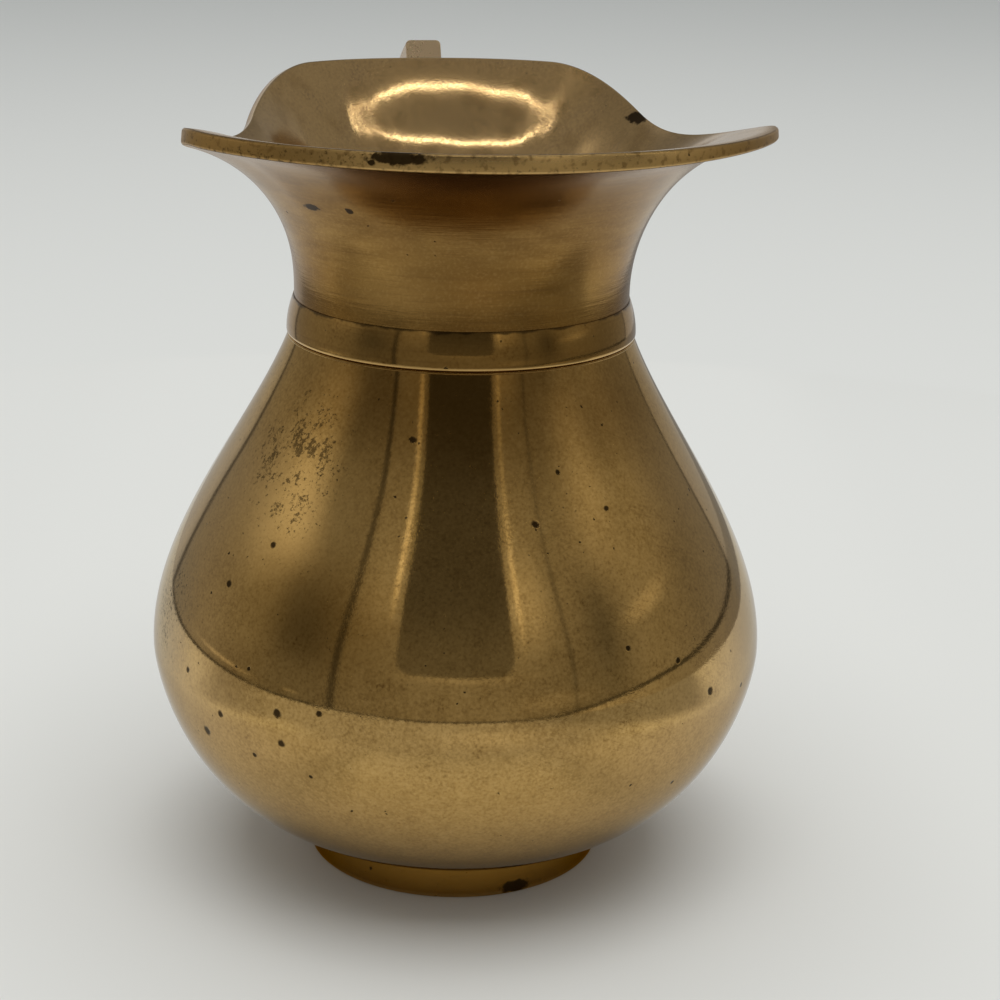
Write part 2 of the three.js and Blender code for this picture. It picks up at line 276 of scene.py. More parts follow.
def rounded_corner(before, corner, after, radius, number):
    """Points that round a corner of a profile."""
    start = corner + (before - corner).normalized() * radius
    end = corner + (after - corner).normalized() * radius
    curve = (start, lerp(start, corner, ROUND_PULL), lerp(end, corner, ROUND_PULL), end)
    return [bezier(curve, amount) for amount in steps_between(0.0, 1.0, number)]


# Modelling helpers

MERGE_DISTANCE = 0.004 * MM


def start_piece():
    """Leaves edit mode and drops what is selected."""
    if bpy.context.object and bpy.context.object.mode != "OBJECT":
        bpy.ops.object.mode_set(mode="OBJECT")
    bpy.ops.object.select_all(action="DESELECT")


def spin_profile(name, profile, spin_steps):
    """Draws a profile by extruding one vertex from point to point, and spins it round the axis."""
    start_piece()
    first = profile[0]
    bpy.ops.mesh.primitive_plane_add(size=MM, location=(first.x, AXIS_Y, first.y))
    piece = bpy.context.object
    piece.name = name
    piece.data.name = name
    bpy.ops.object.transform_apply(location=True, rotation=True, scale=True)
    bpy.ops.object.mode_set(mode="EDIT")
    bpy.ops.mesh.select_mode(type="VERT")
    bpy.ops.mesh.select_all(action="SELECT")
    bpy.ops.mesh.merge(type="CENTER")
    for before, after in zip(profile, profile[1:]):
        step = (after.x - before.x, 0.0, after.y - before.y)
        bpy.ops.mesh.extrude_region_move(TRANSFORM_OT_translate={"value": step})
    bpy.ops.mesh.select_all(action="SELECT")
    bpy.ops.mesh.spin(steps=spin_steps, angle=math.tau, center=AXIS, axis=(0.0, 0.0, 1.0))
    bpy.ops.mesh.select_all(action="SELECT")
    bpy.ops.mesh.remove_doubles(threshold=MERGE_DISTANCE)
    bpy.ops.object.mode_set(mode="OBJECT")
    face_outwards(piece)
    return piece


def face_outwards(piece):
    """Makes the faces agree, and turns them all round if the closed piece then has a negative volume."""
    bpy.ops.object.mode_set(mode="EDIT")
    bpy.ops.mesh.select_all(action="SELECT")
    bpy.ops.mesh.normals_make_consistent(inside=False)
    bpy.ops.object.mode_set(mode="OBJECT")
    if sum(face.center.dot(face.normal) * face.area for face in piece.data.polygons) < 0.0:
        bpy.ops.object.mode_set(mode="EDIT")
        bpy.ops.mesh.flip_normals()
        bpy.ops.object.mode_set(mode="OBJECT")


def finish_piece(piece, node, material, sharp_degrees):
    """Shades a piece, gives it its brass, and lets it stand for its solid."""
    bpy.ops.object.select_all(action="DESELECT")
    piece.select_set(True)
    bpy.context.view_layer.objects.active = piece
    bpy.ops.object.shade_smooth_by_angle(angle=math.radians(sharp_degrees))
    piece.data.materials.clear()
    piece.data.materials.append(material)
    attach(piece, "root")
    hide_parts(node)


# Turned pieces: steps along their curves, and where the curves start

BOWL_STEPS, BOWL_INSIDE_STEPS = 40, 24
BEAD_STEPS, BEAD_START = 8, math.radians(-50.0)
FOOT_STEPS, FOOT_SIDE_START = 6, 0.2
COLLAR_STEPS, COLLAR_CORNER_STEPS = 24, 8
COLLAR_PULL_LOW, COLLAR_PULL_HIGH = 0.25, 0.4


def bowl_curves(sizes):
    """The bowl's outside in two curves, from the foot to the belly and on to the shoulder."""
    foot = at(sizes.foot_top_radius, sizes.foot_height)
    belly = at(sizes.belly_radius, sizes.belly_height)
    shoulder = at(sizes.shoulder_radius, sizes.shoulder_height)
    rise = shoulder.y - belly.y
    upright = math.pi / 2
    underside = (
        foot,
        along(foot, sizes.underside_lean, sizes.underside_pull * (belly.x - foot.x)),
        along(belly, -upright, sizes.belly_pull_below * (belly.y - foot.y)),
        belly,
    )
    flank = (
        belly,
        along(belly, upright, sizes.belly_pull_above * rise),
        along(shoulder, sizes.shoulder_lean - upright, sizes.shoulder_pull * rise),
        shoulder,
    )
    return underside, flank


def bowl_outline(sizes, offset, number):
    """Points up the bowl's outside, moved outwards by an offset."""
    points = []
    for curve in bowl_curves(sizes):
        for amount in steps_between(0.0, 1.0, number)[1 if points else 0:]:
            slope = bezier_slope(curve, amount)
            points.append(bezier(curve, amount) + offset * Vector((slope.y, -slope.x)))
    return points


def bowl_radius(sizes, height):
    """Outside radius of the bowl at a height."""
    underside, flank = bowl_curves(sizes)
    curve = underside if height < sizes.belly_height else flank
    return bezier(curve, last_true(0.0, 1.0, lambda amount: bezier(curve, amount).y < height)).x


def shoulder_edge(sizes):
    """The bowl's rolled upper edge, which shows as a thin line under the collar."""
    bead = sizes.shoulder_bead
    middle = at(sizes.shoulder_radius, sizes.shoulder_height - bead)
    return [along(middle, turn, bead) for turn in steps_between(BEAD_START, math.pi / 2, BEAD_STEPS)]


class PITCHER_OT_bowl(bpy.types.Operator):
    """Turn the pear-shaped bowl"""

    bl_idname = "pitcher.bowl"
    bl_label = "Bowl"

    def execute(self, context):
        sizes = context.scene.pitcher_sizes
        bore = sizes.neck_radius - sizes.bowl_wall
        profile = [
            at(0.0, sizes.foot_height),
            at(sizes.foot_top_radius / 2, sizes.foot_height),
            *bowl_outline(sizes, 0.0, BOWL_STEPS)[:-1],
            *shoulder_edge(sizes),
            at(sizes.neck_radius, sizes.shoulder_height),
            at(sizes.neck_radius, sizes.neck_bottom),
            at(bore, sizes.neck_bottom),
            at(bore, sizes.shoulder_height),
            *reversed(bowl_outline(sizes, -sizes.bowl_wall, BOWL_INSIDE_STEPS)),
            at(sizes.foot_top_radius / 2, sizes.foot_height + sizes.bowl_wall),
            at(0.0, sizes.foot_height + sizes.bowl_wall),
        ]
        piece = spin_profile("turned_bowl", profile, sizes.round_steps)
        finish_piece(piece, "body_bowl", bowl_brass(sizes), sharp_degrees=30)
        return {"FINISHED"}


class PITCHER_OT_foot(bpy.types.Operator):
    """Turn the foot ring"""

    bl_idname = "pitcher.foot"
    bl_label = "Foot"

    def execute(self, context):
        sizes = context.scene.pitcher_sizes
        inner_low = at(sizes.foot_radius - sizes.foot_ring_width, 0.0)
        outer_low = at(sizes.foot_radius, 0.0)
        outer_high = at(sizes.foot_top_radius, sizes.foot_height)
        inner_high = at(sizes.foot_top_radius - sizes.foot_ring_width, sizes.foot_height)
        profile = [
            inner_high,
            *rounded_corner(inner_high, inner_low, outer_low, sizes.foot_edge_round, FOOT_STEPS),
            *rounded_corner(inner_low, outer_low, outer_high, sizes.foot_edge_round, FOOT_STEPS),
            *steps_between(lerp(outer_low, outer_high, FOOT_SIDE_START), outer_high, FOOT_STEPS),
            inner_high,
        ]
        piece = spin_profile("foot", profile, sizes.round_steps)
        finish_piece(piece, "foot_ring", foot_brass(sizes), sharp_degrees=35)
        return {"FINISHED"}


class PITCHER_OT_collar(bpy.types.Operator):
    """Turn the collar that covers the joint of bowl and neck"""

    bl_idname = "pitcher.collar"
    bl_label = "Collar"

    def execute(self, context):
        sizes = context.scene.pitcher_sizes
        bore = sizes.neck_radius + sizes.collar_clearance
        inner_low = at(bore, sizes.shoulder_height)
        outer_low = at(sizes.collar_radius, sizes.shoulder_height)
        outer_high = at(sizes.collar_top_radius, sizes.collar_top)
        inner_high = at(bore, sizes.collar_top)
        rise = sizes.collar_top - sizes.shoulder_height
        face_low = along(outer_low, math.pi / 2, sizes.collar_edge_round)
        face = (
            face_low,
            along(face_low, math.pi / 2, COLLAR_PULL_LOW * rise),
            along(outer_high, sizes.collar_lean - math.pi / 2, COLLAR_PULL_HIGH * rise),
            outer_high,
        )
        edge = rounded_corner(inner_low, outer_low, face_low, sizes.collar_edge_round, COLLAR_CORNER_STEPS)
        profile = [
            inner_low,
            *edge[:-1],
            *(bezier(face, amount) for amount in steps_between(0.0, 1.0, COLLAR_STEPS)),
            inner_high,
            inner_low,
        ]
        piece = spin_profile("collar", profile, sizes.round_steps)
        finish_piece(piece, "collar_band", collar_brass(sizes), sharp_degrees=35)
        return {"FINISHED"}


# Neck and mouth

WALL_STEPS, RIM_STEPS = 48, 5
RIM_CROWDING = 1.3  # Over 1, the wall's steps crowd towards the rim
RIM_START = 0.94  # Share of the wall's run from which it counts as the rim
TURN_NUDGE = 1e-4


def rim_wall(sizes, turn):
    """The rim's thickness, thinner from the lip out to the two wings and round to the tongue."""
    wing = sizes.right_wing_wall if turn > 0.0 else sizes.left_wing_wall
    front = lerp(sizes.neck_wall, wing, smooth(abs(turn), 0.0, sizes.fold_angle))
    return lerp(front, sizes.tongue_wall, smooth(abs(turn), sizes.notch_angle, sizes.corner_angle))


def tongue_radius(sizes, turn):
    """Radius of the tongue's plan, a squared oval that is flat across the back."""
    power = sizes.tongue_squareness
    across = abs(math.sin(turn)) / sizes.tongue_half_width
    back = abs(math.cos(turn)) / sizes.tongue_depth
    return (across ** power + back ** power) ** (-1.0 / power)


def flare_curve(sizes, turn):
    """The wall's run up one side of the mouth, from the upright neck out to the rim."""
    around = abs(turn)
    folded = smooth(around, sizes.fold_angle, sizes.folded_angle)
    dipped = lerp(sizes.lip_height, sizes.notch_height, smooth(around, sizes.dip_angle, sizes.notch_angle))
    raised = smooth(around, sizes.notch_angle, sizes.corner_angle)
    lean = lerp(sizes.lip_lean, sizes.tongue_lean, smooth(around, sizes.fold_angle, sizes.corner_angle))
    thinned_below = (sizes.neck_wall - rim_wall(sizes, turn)) / 2
    neck = at(sizes.neck_radius, sizes.flare_height)
    rim = at(
        lerp(sizes.lip_radius, tongue_radius(sizes, turn), folded),
        lerp(dipped, sizes.tongue_height, raised) + thinned_below,
    )
    chord = (rim - neck).length
    return (
        neck,
        along(neck, math.pi / 2, lerp(sizes.flare_pull_low, sizes.tongue_pull_low, raised) * chord),
        along(rim, lean, -lerp(sizes.flare_pull_high, sizes.tongue_pull_high, raised) * chord),
        rim,
    )


def turned(turn, point):
    """A point or direction of the half-plane, swung round the axis from the lip."""
    return Vector((point.x * math.sin(turn), -point.x * math.cos(turn), point.y))


def wall_stations(sizes):
    """Up the outside, over the rounded rim and down the inside: share of the run, share of the wall's
    depth, and how much deeper and further back from the rim each point of the section lies."""
    drop = sizes.flare_height - sizes.neck_bottom
    soft = sizes.rim_edge_round
    run = [1.0 - (1.0 - step) ** RIM_CROWDING for step in steps_between(0.0, 1.0, WALL_STEPS)]
    bends = steps_between(0.0, math.pi / 2, RIM_STEPS)
    arc = [(soft * (1.0 - math.cos(bend)), soft * (1.0 - math.sin(bend))) for bend in bends]
    return [
        (0.0, 0.0, 0.0, drop),
        *((amount, 0.0, 0.0, 0.0) for amount in run[:-1]),
        *((1.0, 0.0, deeper, back) for deeper, back in arc),
        (1.0, 0.5, 0.0, 0.0),
        *((1.0, 1.0, -deeper, back) for deeper, back in reversed(arc)),
        *((amount, 1.0, 0.0, 0.0) for amount in reversed(run[:-1])),
        (0.0, 1.0, 0.0, drop),
    ]


def wall_section(sizes, turn, stations):
    """One closed section of the neck's wall at a turn from the lip, round the axis at the origin."""
    turns = (turn, turn - TURN_NUDGE, turn + TURN_NUDGE)
    curve, before, after = (flare_curve(sizes, around) for around in turns)
    wall = rim_wall(sizes, turn)
    section = []
    for run, depth_share, deeper, back in stations:
        up = turned(turn, bezier_slope(curve, run))
        sideways = turned(turns[2], bezier(after, run)) - turned(turns[1], bezier(before, run))
        normal = sideways.cross(up).normalized()
        depth = depth_share * lerp(sizes.neck_wall, wall, run) + deeper
        section.append(turned(turn, bezier(curve, run)) - normal * depth - up * back)
    return section


def fold_mouth(piece, sizes, stations, flat_section):
    """Moves each point of the turned neck to where its station of the wall lies at its turn."""
    places = kdtree.KDTree(len(flat_section))
    for index, point in enumerate(flat_section):
        places.insert((-point.y, point.z, 0.0), index)
    places.balance()
    sections = {}
    rim = piece.data.attributes.new("rim", "FLOAT", "POINT")
    outside = piece.data.attributes.new("outside", "FLOAT", "POINT")
    for vertex in piece.data.vertices:
        spot = vertex.co - AXIS
        turn = round(math.atan2(spot.x, -spot.y), 5)
        if turn not in sections:
            sections[turn] = wall_section(sizes, turn, stations)
        station = places.find((math.hypot(spot.x, spot.y), spot.z, 0.0))[1]
        vertex.co = AXIS + sections[turn][station]
        rim.data[vertex.index].value = smooth(stations[station][0], RIM_START, 1.0)
        outside.data[vertex.index].value = 1.0 - stations[station][1]
    piece.data.update()
    face_outwards(piece)


class PITCHER_OT_neck(bpy.types.Operator):
    """Turn the neck and fold the back of its lip up into the tongue"""

    bl_idname = "pitcher.neck"
    bl_label = "Neck and mouth"

    def execute(self, context):
        sizes = context.scene.pitcher_sizes
        stations = wall_stations(sizes)
        flat_section = wall_section(sizes, 0.0, stations)
        profile = [at(-point.y, point.z) for point in flat_section]
        piece = spin_profile("folded_neck", [*profile, profile[0]], sizes.mouth_steps)
        fold_mouth(piece, sizes, stations, flat_section)
        finish_piece(piece, "neck_mouth", neck_brass(sizes), sharp_degrees=40)
        return {"FINISHED"}


# Handle

SEAT_SEARCH = (-6.0 * MM, 12.0 * MM)


def handle_spine(sizes):
    """The strap's outer line from the side: square off the tongue, round and down to the belly. The curve's
    handles reach further back than its middle, which lies at (start + 6 * bulge + root) / 8."""
    square = sizes.tongue_lean - math.pi / 2
    top = along(flare_curve(sizes, math.pi)[3], sizes.tongue_lean, sizes.handle_rise)
    start = along(top, square, -sizes.handle_seat)
    root = at(bowl_radius(sizes, sizes.handle_root_height), sizes.handle_root_height)
    bulge = (8 * sizes.handle_reach - start.x - root.x) / 6
    return (
        start,
        at(bulge, start.y + (bulge - start.x) * math.tan(square)),
        at(bulge, root.y + sizes.handle_root_sweep),
        root,
    )


def press_to_bowl(sizes, point, direction):
    """Slides a point of the half-plane along a direction until it sits in the bowl's wall."""
    def clear(slide):
        spot = point + direction * slide
        return spot.x - bowl_radius(sizes, spot.y) > -sizes.handle_seat

    return point + direction * last_true(*SEAT_SEARCH, clear)


def bend_strap(piece, sizes):
    """Bends the straight strap along its spine, thickens its ends and seats the root on the bowl."""
    spine = handle_spine(sizes)
    number = sizes.handle_steps
    for vertex in piece.data.vertices:
        across, below, station = vertex.co.x, vertex.co.y, round(vertex.co.z / MM)
        amount = station / number
        slope = bezier_slope(spine, amount)
        inwards = Vector((slope.y, -slope.x))
        middle = smooth(amount, 0.0, sizes.handle_taper) * smooth(1.0 - amount, 0.0, sizes.handle_taper)
        depth = lerp(sizes.handle_end_thickness, sizes.handle_thickness, middle)
        if below > sizes.handle_thickness / 2:
            below += depth - sizes.handle_thickness
        spot = bezier(spine, amount) + inwards * below
        if station == number:
            spot = press_to_bowl(sizes, spot, slope)
        vertex.co = AXIS + Vector((across, spot.x, spot.y))
    piece.data.update()


class PITCHER_OT_handle(bpy.types.Operator):
    """Draw out a straight strap and bend it to the handle"""

    bl_idname = "pitcher.handle"
    bl_label = "Handle"

    def execute(self, context):
        sizes = context.scene.pitcher_sizes
        start_piece()
        bpy.ops.mesh.primitive_plane_add(size=1.0, location=(0.0, sizes.handle_thickness / 2, 0.0))
        piece = bpy.context.object
        piece.name = "strap_handle"
        piece.data.name = "strap_handle"
        piece.scale = (sizes.handle_width, sizes.handle_thickness, 1.0)
        bpy.ops.object.transform_apply(location=True, rotation=True, scale=True)
        bpy.ops.object.mode_set(mode="EDIT")
        bpy.ops.mesh.select_mode(type="VERT")
        bpy.ops.mesh.select_all(action="SELECT")
        bpy.ops.mesh.bevel(offset=sizes.handle_edge_round, segments=4, affect="VERTICES")
        bpy.ops.mesh.select_mode(type="FACE")
        bpy.ops.mesh.select_all(action="SELECT")
        for _ in range(sizes.handle_steps):
            bpy.ops.mesh.extrude_region_move(TRANSFORM_OT_translate={"value": (0.0, 0.0, MM)})
        bpy.ops.object.mode_set(mode="OBJECT")
        bend_strap(piece, sizes)
        face_outwards(piece)
        finish_piece(piece, "handle", handle_brass(), sharp_degrees=40)
        return {"FINISHED"}


# Shader nodes

def set_socket(tree, socket, value):
    """Links a socket to another node's output, or sets a plain value on it."""
    if isinstance(value, bpy.types.NodeSocket):
        tree.links.new(value, socket)
    elif socket.type == "RGBA":
        socket.default_value = (*value, 1.0)
    else:
        socket.default_value = value


def add_node(tree, kind, sockets, **settings):
    """Adds a shader node with its settings and sockets, and gives its outputs."""
    node = tree.nodes.new("ShaderNode" + kind)
    for name, value in settings.items():
        setattr(node, name, value)
    for name, value in sockets.items():
        set_socket(tree, node.inputs[name], value)
    return node.outputs


def operate(tree, kind, operation, values):
    """Adds a math node with its operation and inputs, and gives its outputs."""
    node = tree.nodes.new("ShaderNode" + kind)
    node.operation = operation
    for socket, value in zip(node.inputs, values):
        set_socket(tree, socket, value)
    return node.outputs


def calc(tree, operation, *values):
    return operate(tree, "Math", operation, values)["Value"]


def times(tree, first, second):
    return calc(tree, "MULTIPLY", first, second)


def blend(tree, amount, first, second):
    """Goes from a first value to a second one."""
    return calc(tree, "MULTIPLY_ADD", amount, calc(tree, "SUBTRACT", second, first), first)


def vector_calc(tree, operation, *values):
    outputs = operate(tree, "VectorMath", operation, values)
    return outputs["Value" if operation == "LENGTH" else "Vector"]


def weighted_sum(tree, *terms):
    """Adds up values, each times its weight."""
    total = 0.0
    for value, weight in terms:
        total = calc(tree, "MULTIPLY_ADD", value, weight, total)
    return total


def ramp(tree, value, start, end, low=0.0, high=1.0):
    """A smooth step from low at the start to high at the end."""
    sockets = {"Value": value, "From Min": start, "From Max": end, "To Min": low, "To Max": high}
    return add_node(tree, "MapRange", sockets, interpolation_type="SMOOTHSTEP")["Result"]


def mix(tree, amount, first, second):
    """Mixes two colours."""
    node = tree.nodes.new("ShaderNodeMix")
    node.data_type = "RGBA"
    sockets = [socket for socket in node.inputs if socket.enabled]
    for socket, value in zip(sockets, (amount, first, second)):
        set_socket(tree, socket, value)
    return next(socket for socket in node.outputs if socket.enabled)


def separate(tree, vector):
    parts = add_node(tree, "SeparateXYZ", {"Vector": vector})
    return parts["X"], parts["Y"], parts["Z"]


def noise(tree, spot, feature, detail=2.0):
    """Cloudy noise round 0.5, with spots about one feature size across."""
    return add_node(tree, "TexNoise", {"Vector": spot, "Scale": 1.0 / feature, "Detail": detail})["Fac"]


def shared_group(name, inputs, outputs, build):
    """A shader group that is built once and then placed in each material with its own values."""
    group = bpy.data.node_groups.get(name)
    if group:
        return group
    group = bpy.data.node_groups.new(name, "ShaderNodeTree")
    for direction, sockets in (("INPUT", inputs), ("OUTPUT", outputs)):
        for socket, kind in sockets.items():
            group.interface.new_socket(name=socket, in_out=direction, socket_type="NodeSocket" + kind)
    given = group.nodes.new("NodeGroupInput").outputs
    wanted = group.nodes.new("NodeGroupOutput").inputs
    for socket, value in build(group, given).items():
        group.links.new(value, wanted[socket])
    return group


# Effects that the brass materials share: sizes of their features, and ranges of noise that become a mask

BROAD_PATCH, MOTTLE, GRAIN = 24.0 * MM, 4.0 * MM, 0.42 * MM
FILM_RANGE, FRECKLE_RANGE = (0.48, 0.80), (0.64, 0.86)
PIT_RIPPLES = 5.0  # Ripples of a pit's edge in a cell
PIT_DRIFT = 0.3  # How far the ripples push the edge, as a share of a cell
PIT_LEAST, PIT_FLOOR = 0.35, 0.45  # Smallest pit and flat floor, as shares of the largest pit and of the pit
FLECK_DETAIL, FLECK_ROUGHNESS = 6.0, 0.72
FLECK_CROWDING, FLECK_RANGE = 0.3, (0.70, 0.80)
STREAK_DRIFT = 1.2 * MM
STREAK_DETAIL, STREAK_ROUGHNESS = 3.0, 0.65
SCRATCH_LENGTH, SCRATCH_GAP, SCRATCH_PATCH = 26.0 * MM, 0.8 * MM, 9.0 * MM
SCRATCH_WIDTH, SCRATCH_PATCH_RANGE = 0.035, (0.46, 0.62)
STAIN_FRINGE = 0.7 * MM


def patina_group():
    """Brass under an uneven film of tarnish, with the fine grain of a hand-rubbed surface."""
    def build(tree, given):
        tarnish = given["Tarnish"]
        broad = noise(tree, given["Coordinates"], BROAD_PATCH)
        mottle = noise(tree, given["Coordinates"], MOTTLE, 3.0)
        grain = noise(tree, given["Coordinates"], GRAIN)
        cover = weighted_sum(tree, (broad, 0.35), (mottle, 0.25), (grain, 0.40), (tarnish, 0.40))
        freckles = weighted_sum(tree, (mottle, 0.50), (grain, 0.50), (tarnish, 0.20))
        film = ramp(tree, cover, *FILM_RANGE)
        dulled = mix(tree, film, given["Bright"], given["Dull"])
        return {
            "Color": mix(tree, ramp(tree, freckles, *FRECKLE_RANGE), dulled, given["Brown"]),
            "Film": film,
            "Grain": grain,
        }
    colours = {"Bright": "Color", "Dull": "Color", "Brown": "Color"}
    inputs = {"Coordinates": "Vector", **colours, "Tarnish": "Float"}
    return shared_group("brass_patina", inputs, {"Color": "Color", "Film": "Float", "Grain": "Float"}, build)


def pits_group():
    """Round pits of uneven size, one in a share of the cells that the metal is divided into."""
    def build(tree, given):
        ripples = times(tree, given["Cells"], PIT_RIPPLES)
        ripple = {"Vector": given["Coordinates"], "Scale": ripples, "Detail": 1.0}
        drift = vector_calc(tree, "SUBTRACT", add_node(tree, "TexNoise", ripple)["Color"], (0.5, 0.5, 0.5))
        push = {axis: calc(tree, "DIVIDE", PIT_DRIFT, given["Cells"]) for axis in "XYZ"}
        reach = add_node(tree, "CombineXYZ", push)["Vector"]
        spot = vector_calc(tree, "MULTIPLY_ADD", drift, reach, given["Coordinates"])
        cells = add_node(tree, "TexVoronoi", {"Vector": spot, "Scale": given["Cells"]})
        chances = add_node(tree, "SeparateColor", {"Color": cells["Color"]})
        held = calc(tree, "LESS_THAN", chances["Red"], given["Share"])
        edge = times(tree, given["Reach"], ramp(tree, chances["Green"], 0.0, 1.0, PIT_LEAST, 1.0))
        inside = ramp(tree, cells["Distance"], edge, times(tree, edge, PIT_FLOOR))
        return {"Mask": times(tree, inside, held)}
    inputs = {"Coordinates": "Vector", "Cells": "Float", "Share": "Float", "Reach": "Float"}
    return shared_group("pits", inputs, {"Mask": "Float"}, build)


def flecks_group():
    """Small ragged flecks that crowd together where the cover is high."""
    def build(tree, given):
        sockets = {
            "Vector": given["Coordinates"],
            "Scale": given["Flecks"],
            "Detail": FLECK_DETAIL,
            "Roughness": FLECK_ROUGHNESS,
        }
        grain = add_node(tree, "TexNoise", sockets)["Fac"]
        crowded = calc(tree, "MULTIPLY_ADD", given["Cover"], FLECK_CROWDING, grain)
        return {"Mask": ramp(tree, crowded, *FLECK_RANGE)}
    inputs = {"Coordinates": "Vector", "Flecks": "Float", "Cover": "Float"}
    return shared_group("flecks", inputs, {"Mask": "Float"}, build)


def turning_group():
    """Lines left by the lathe: they run round the axis and change with height and radius."""
    def build(tree, given):
        level = vector_calc(tree, "MULTIPLY", given["Coordinates"], (1.0, 1.0, 0.0))
        upright = vector_calc(tree, "MULTIPLY", given["Coordinates"], (0.0, 0.0, 1.0))
        around = vector_calc(tree, "MULTIPLY", vector_calc(tree, "NORMALIZE", level), (STREAK_DRIFT,) * 3)
        sockets = {
            "Vector": vector_calc(tree, "ADD", around, upright),
            "W": vector_calc(tree, "LENGTH", level),
            "Scale": given["Lines"],
            "Detail": STREAK_DETAIL,
            "Roughness": STREAK_ROUGHNESS,
        }
        return {"Lines": add_node(tree, "TexNoise", sockets, noise_dimensions="4D")["Fac"]}
    inputs = {"Coordinates": "Vector", "Lines": "Float"}
    return shared_group("turning_lines", inputs, {"Lines": "Float"}, build)


def scratches_group():
    """Fine polishing scratches along one direction, in patches."""
    def build(tree, given):
        sockets = {
            "Vector": given["Coordinates"],
            "Rotation": given["Turn"],
            "Scale": (SCRATCH_LENGTH, SCRATCH_GAP, SCRATCH_GAP),
        }
        stretched = add_node(tree, "Mapping", sockets, vector_type="TEXTURE")["Vector"]
        wander = add_node(tree, "TexNoise", {"Vector": stretched, "Scale": 1.0, "Detail": 1.0})["Fac"]
        line = ramp(tree, calc(tree, "ABSOLUTE", calc(tree, "SUBTRACT", wander, 0.5)), SCRATCH_WIDTH, 0.0)
        patch = ramp(tree, noise(tree, given["Coordinates"], SCRATCH_PATCH), *SCRATCH_PATCH_RANGE)
        return {"Mask": times(tree, line, patch)}
    inputs = {"Coordinates": "Vector", "Turn": "Vector"}
    return shared_group("polish_scratches", inputs, {"Mask": "Float"}, build)


def stain_group():
    """A ragged spot round one place, such as a stain or one large pit."""
    def build(tree, given):
        offset = vector_calc(tree, "SUBTRACT", given["Coordinates"], given["Centre"])
        share = vector_calc(tree, "LENGTH", vector_calc(tree, "DIVIDE", offset, given["Reach"]))
        fringe = noise(tree, given["Coordinates"], STAIN_FRINGE, 3.0)
        ragged = weighted_sum(tree, (share, 1.0), (fringe, given["Raggedness"]))
        edge = calc(tree, "MULTIPLY_ADD", given["Raggedness"], 0.5, 1.0)
        start = calc(tree, "ADD", edge, given["Softness"])
        end = calc(tree, "SUBTRACT", edge, given["Softness"])
        return {"Mask": ramp(tree, ragged, start, end)}
    places = {"Coordinates": "Vector", "Centre": "Vector", "Reach": "Vector"}
    inputs = {**places, "Raggedness": "Float", "Softness": "Float"}
    return shared_group("stain", inputs, {"Mask": "Float"}, build)


# Materials

FILM_DULLING, DIRT_DULLING, WORN_GLOSS = 0.03, 0.15, -0.02  # Roughness that film, dirt and wear add
DIRT_COVER = 0.95
CLOUD_FLATNESS, CLOUD_RAGGEDNESS, CLOUD_SOFTNESS = 0.75, 0.4, 0.8
SLANT_RANGE = (0.25, 0.75)
LINE_RANGE = (0.52, 0.68)
TARNISHED_GRAIN, RUBBED_GRAIN = (0.52, 0.66), (0.50, 0.34)


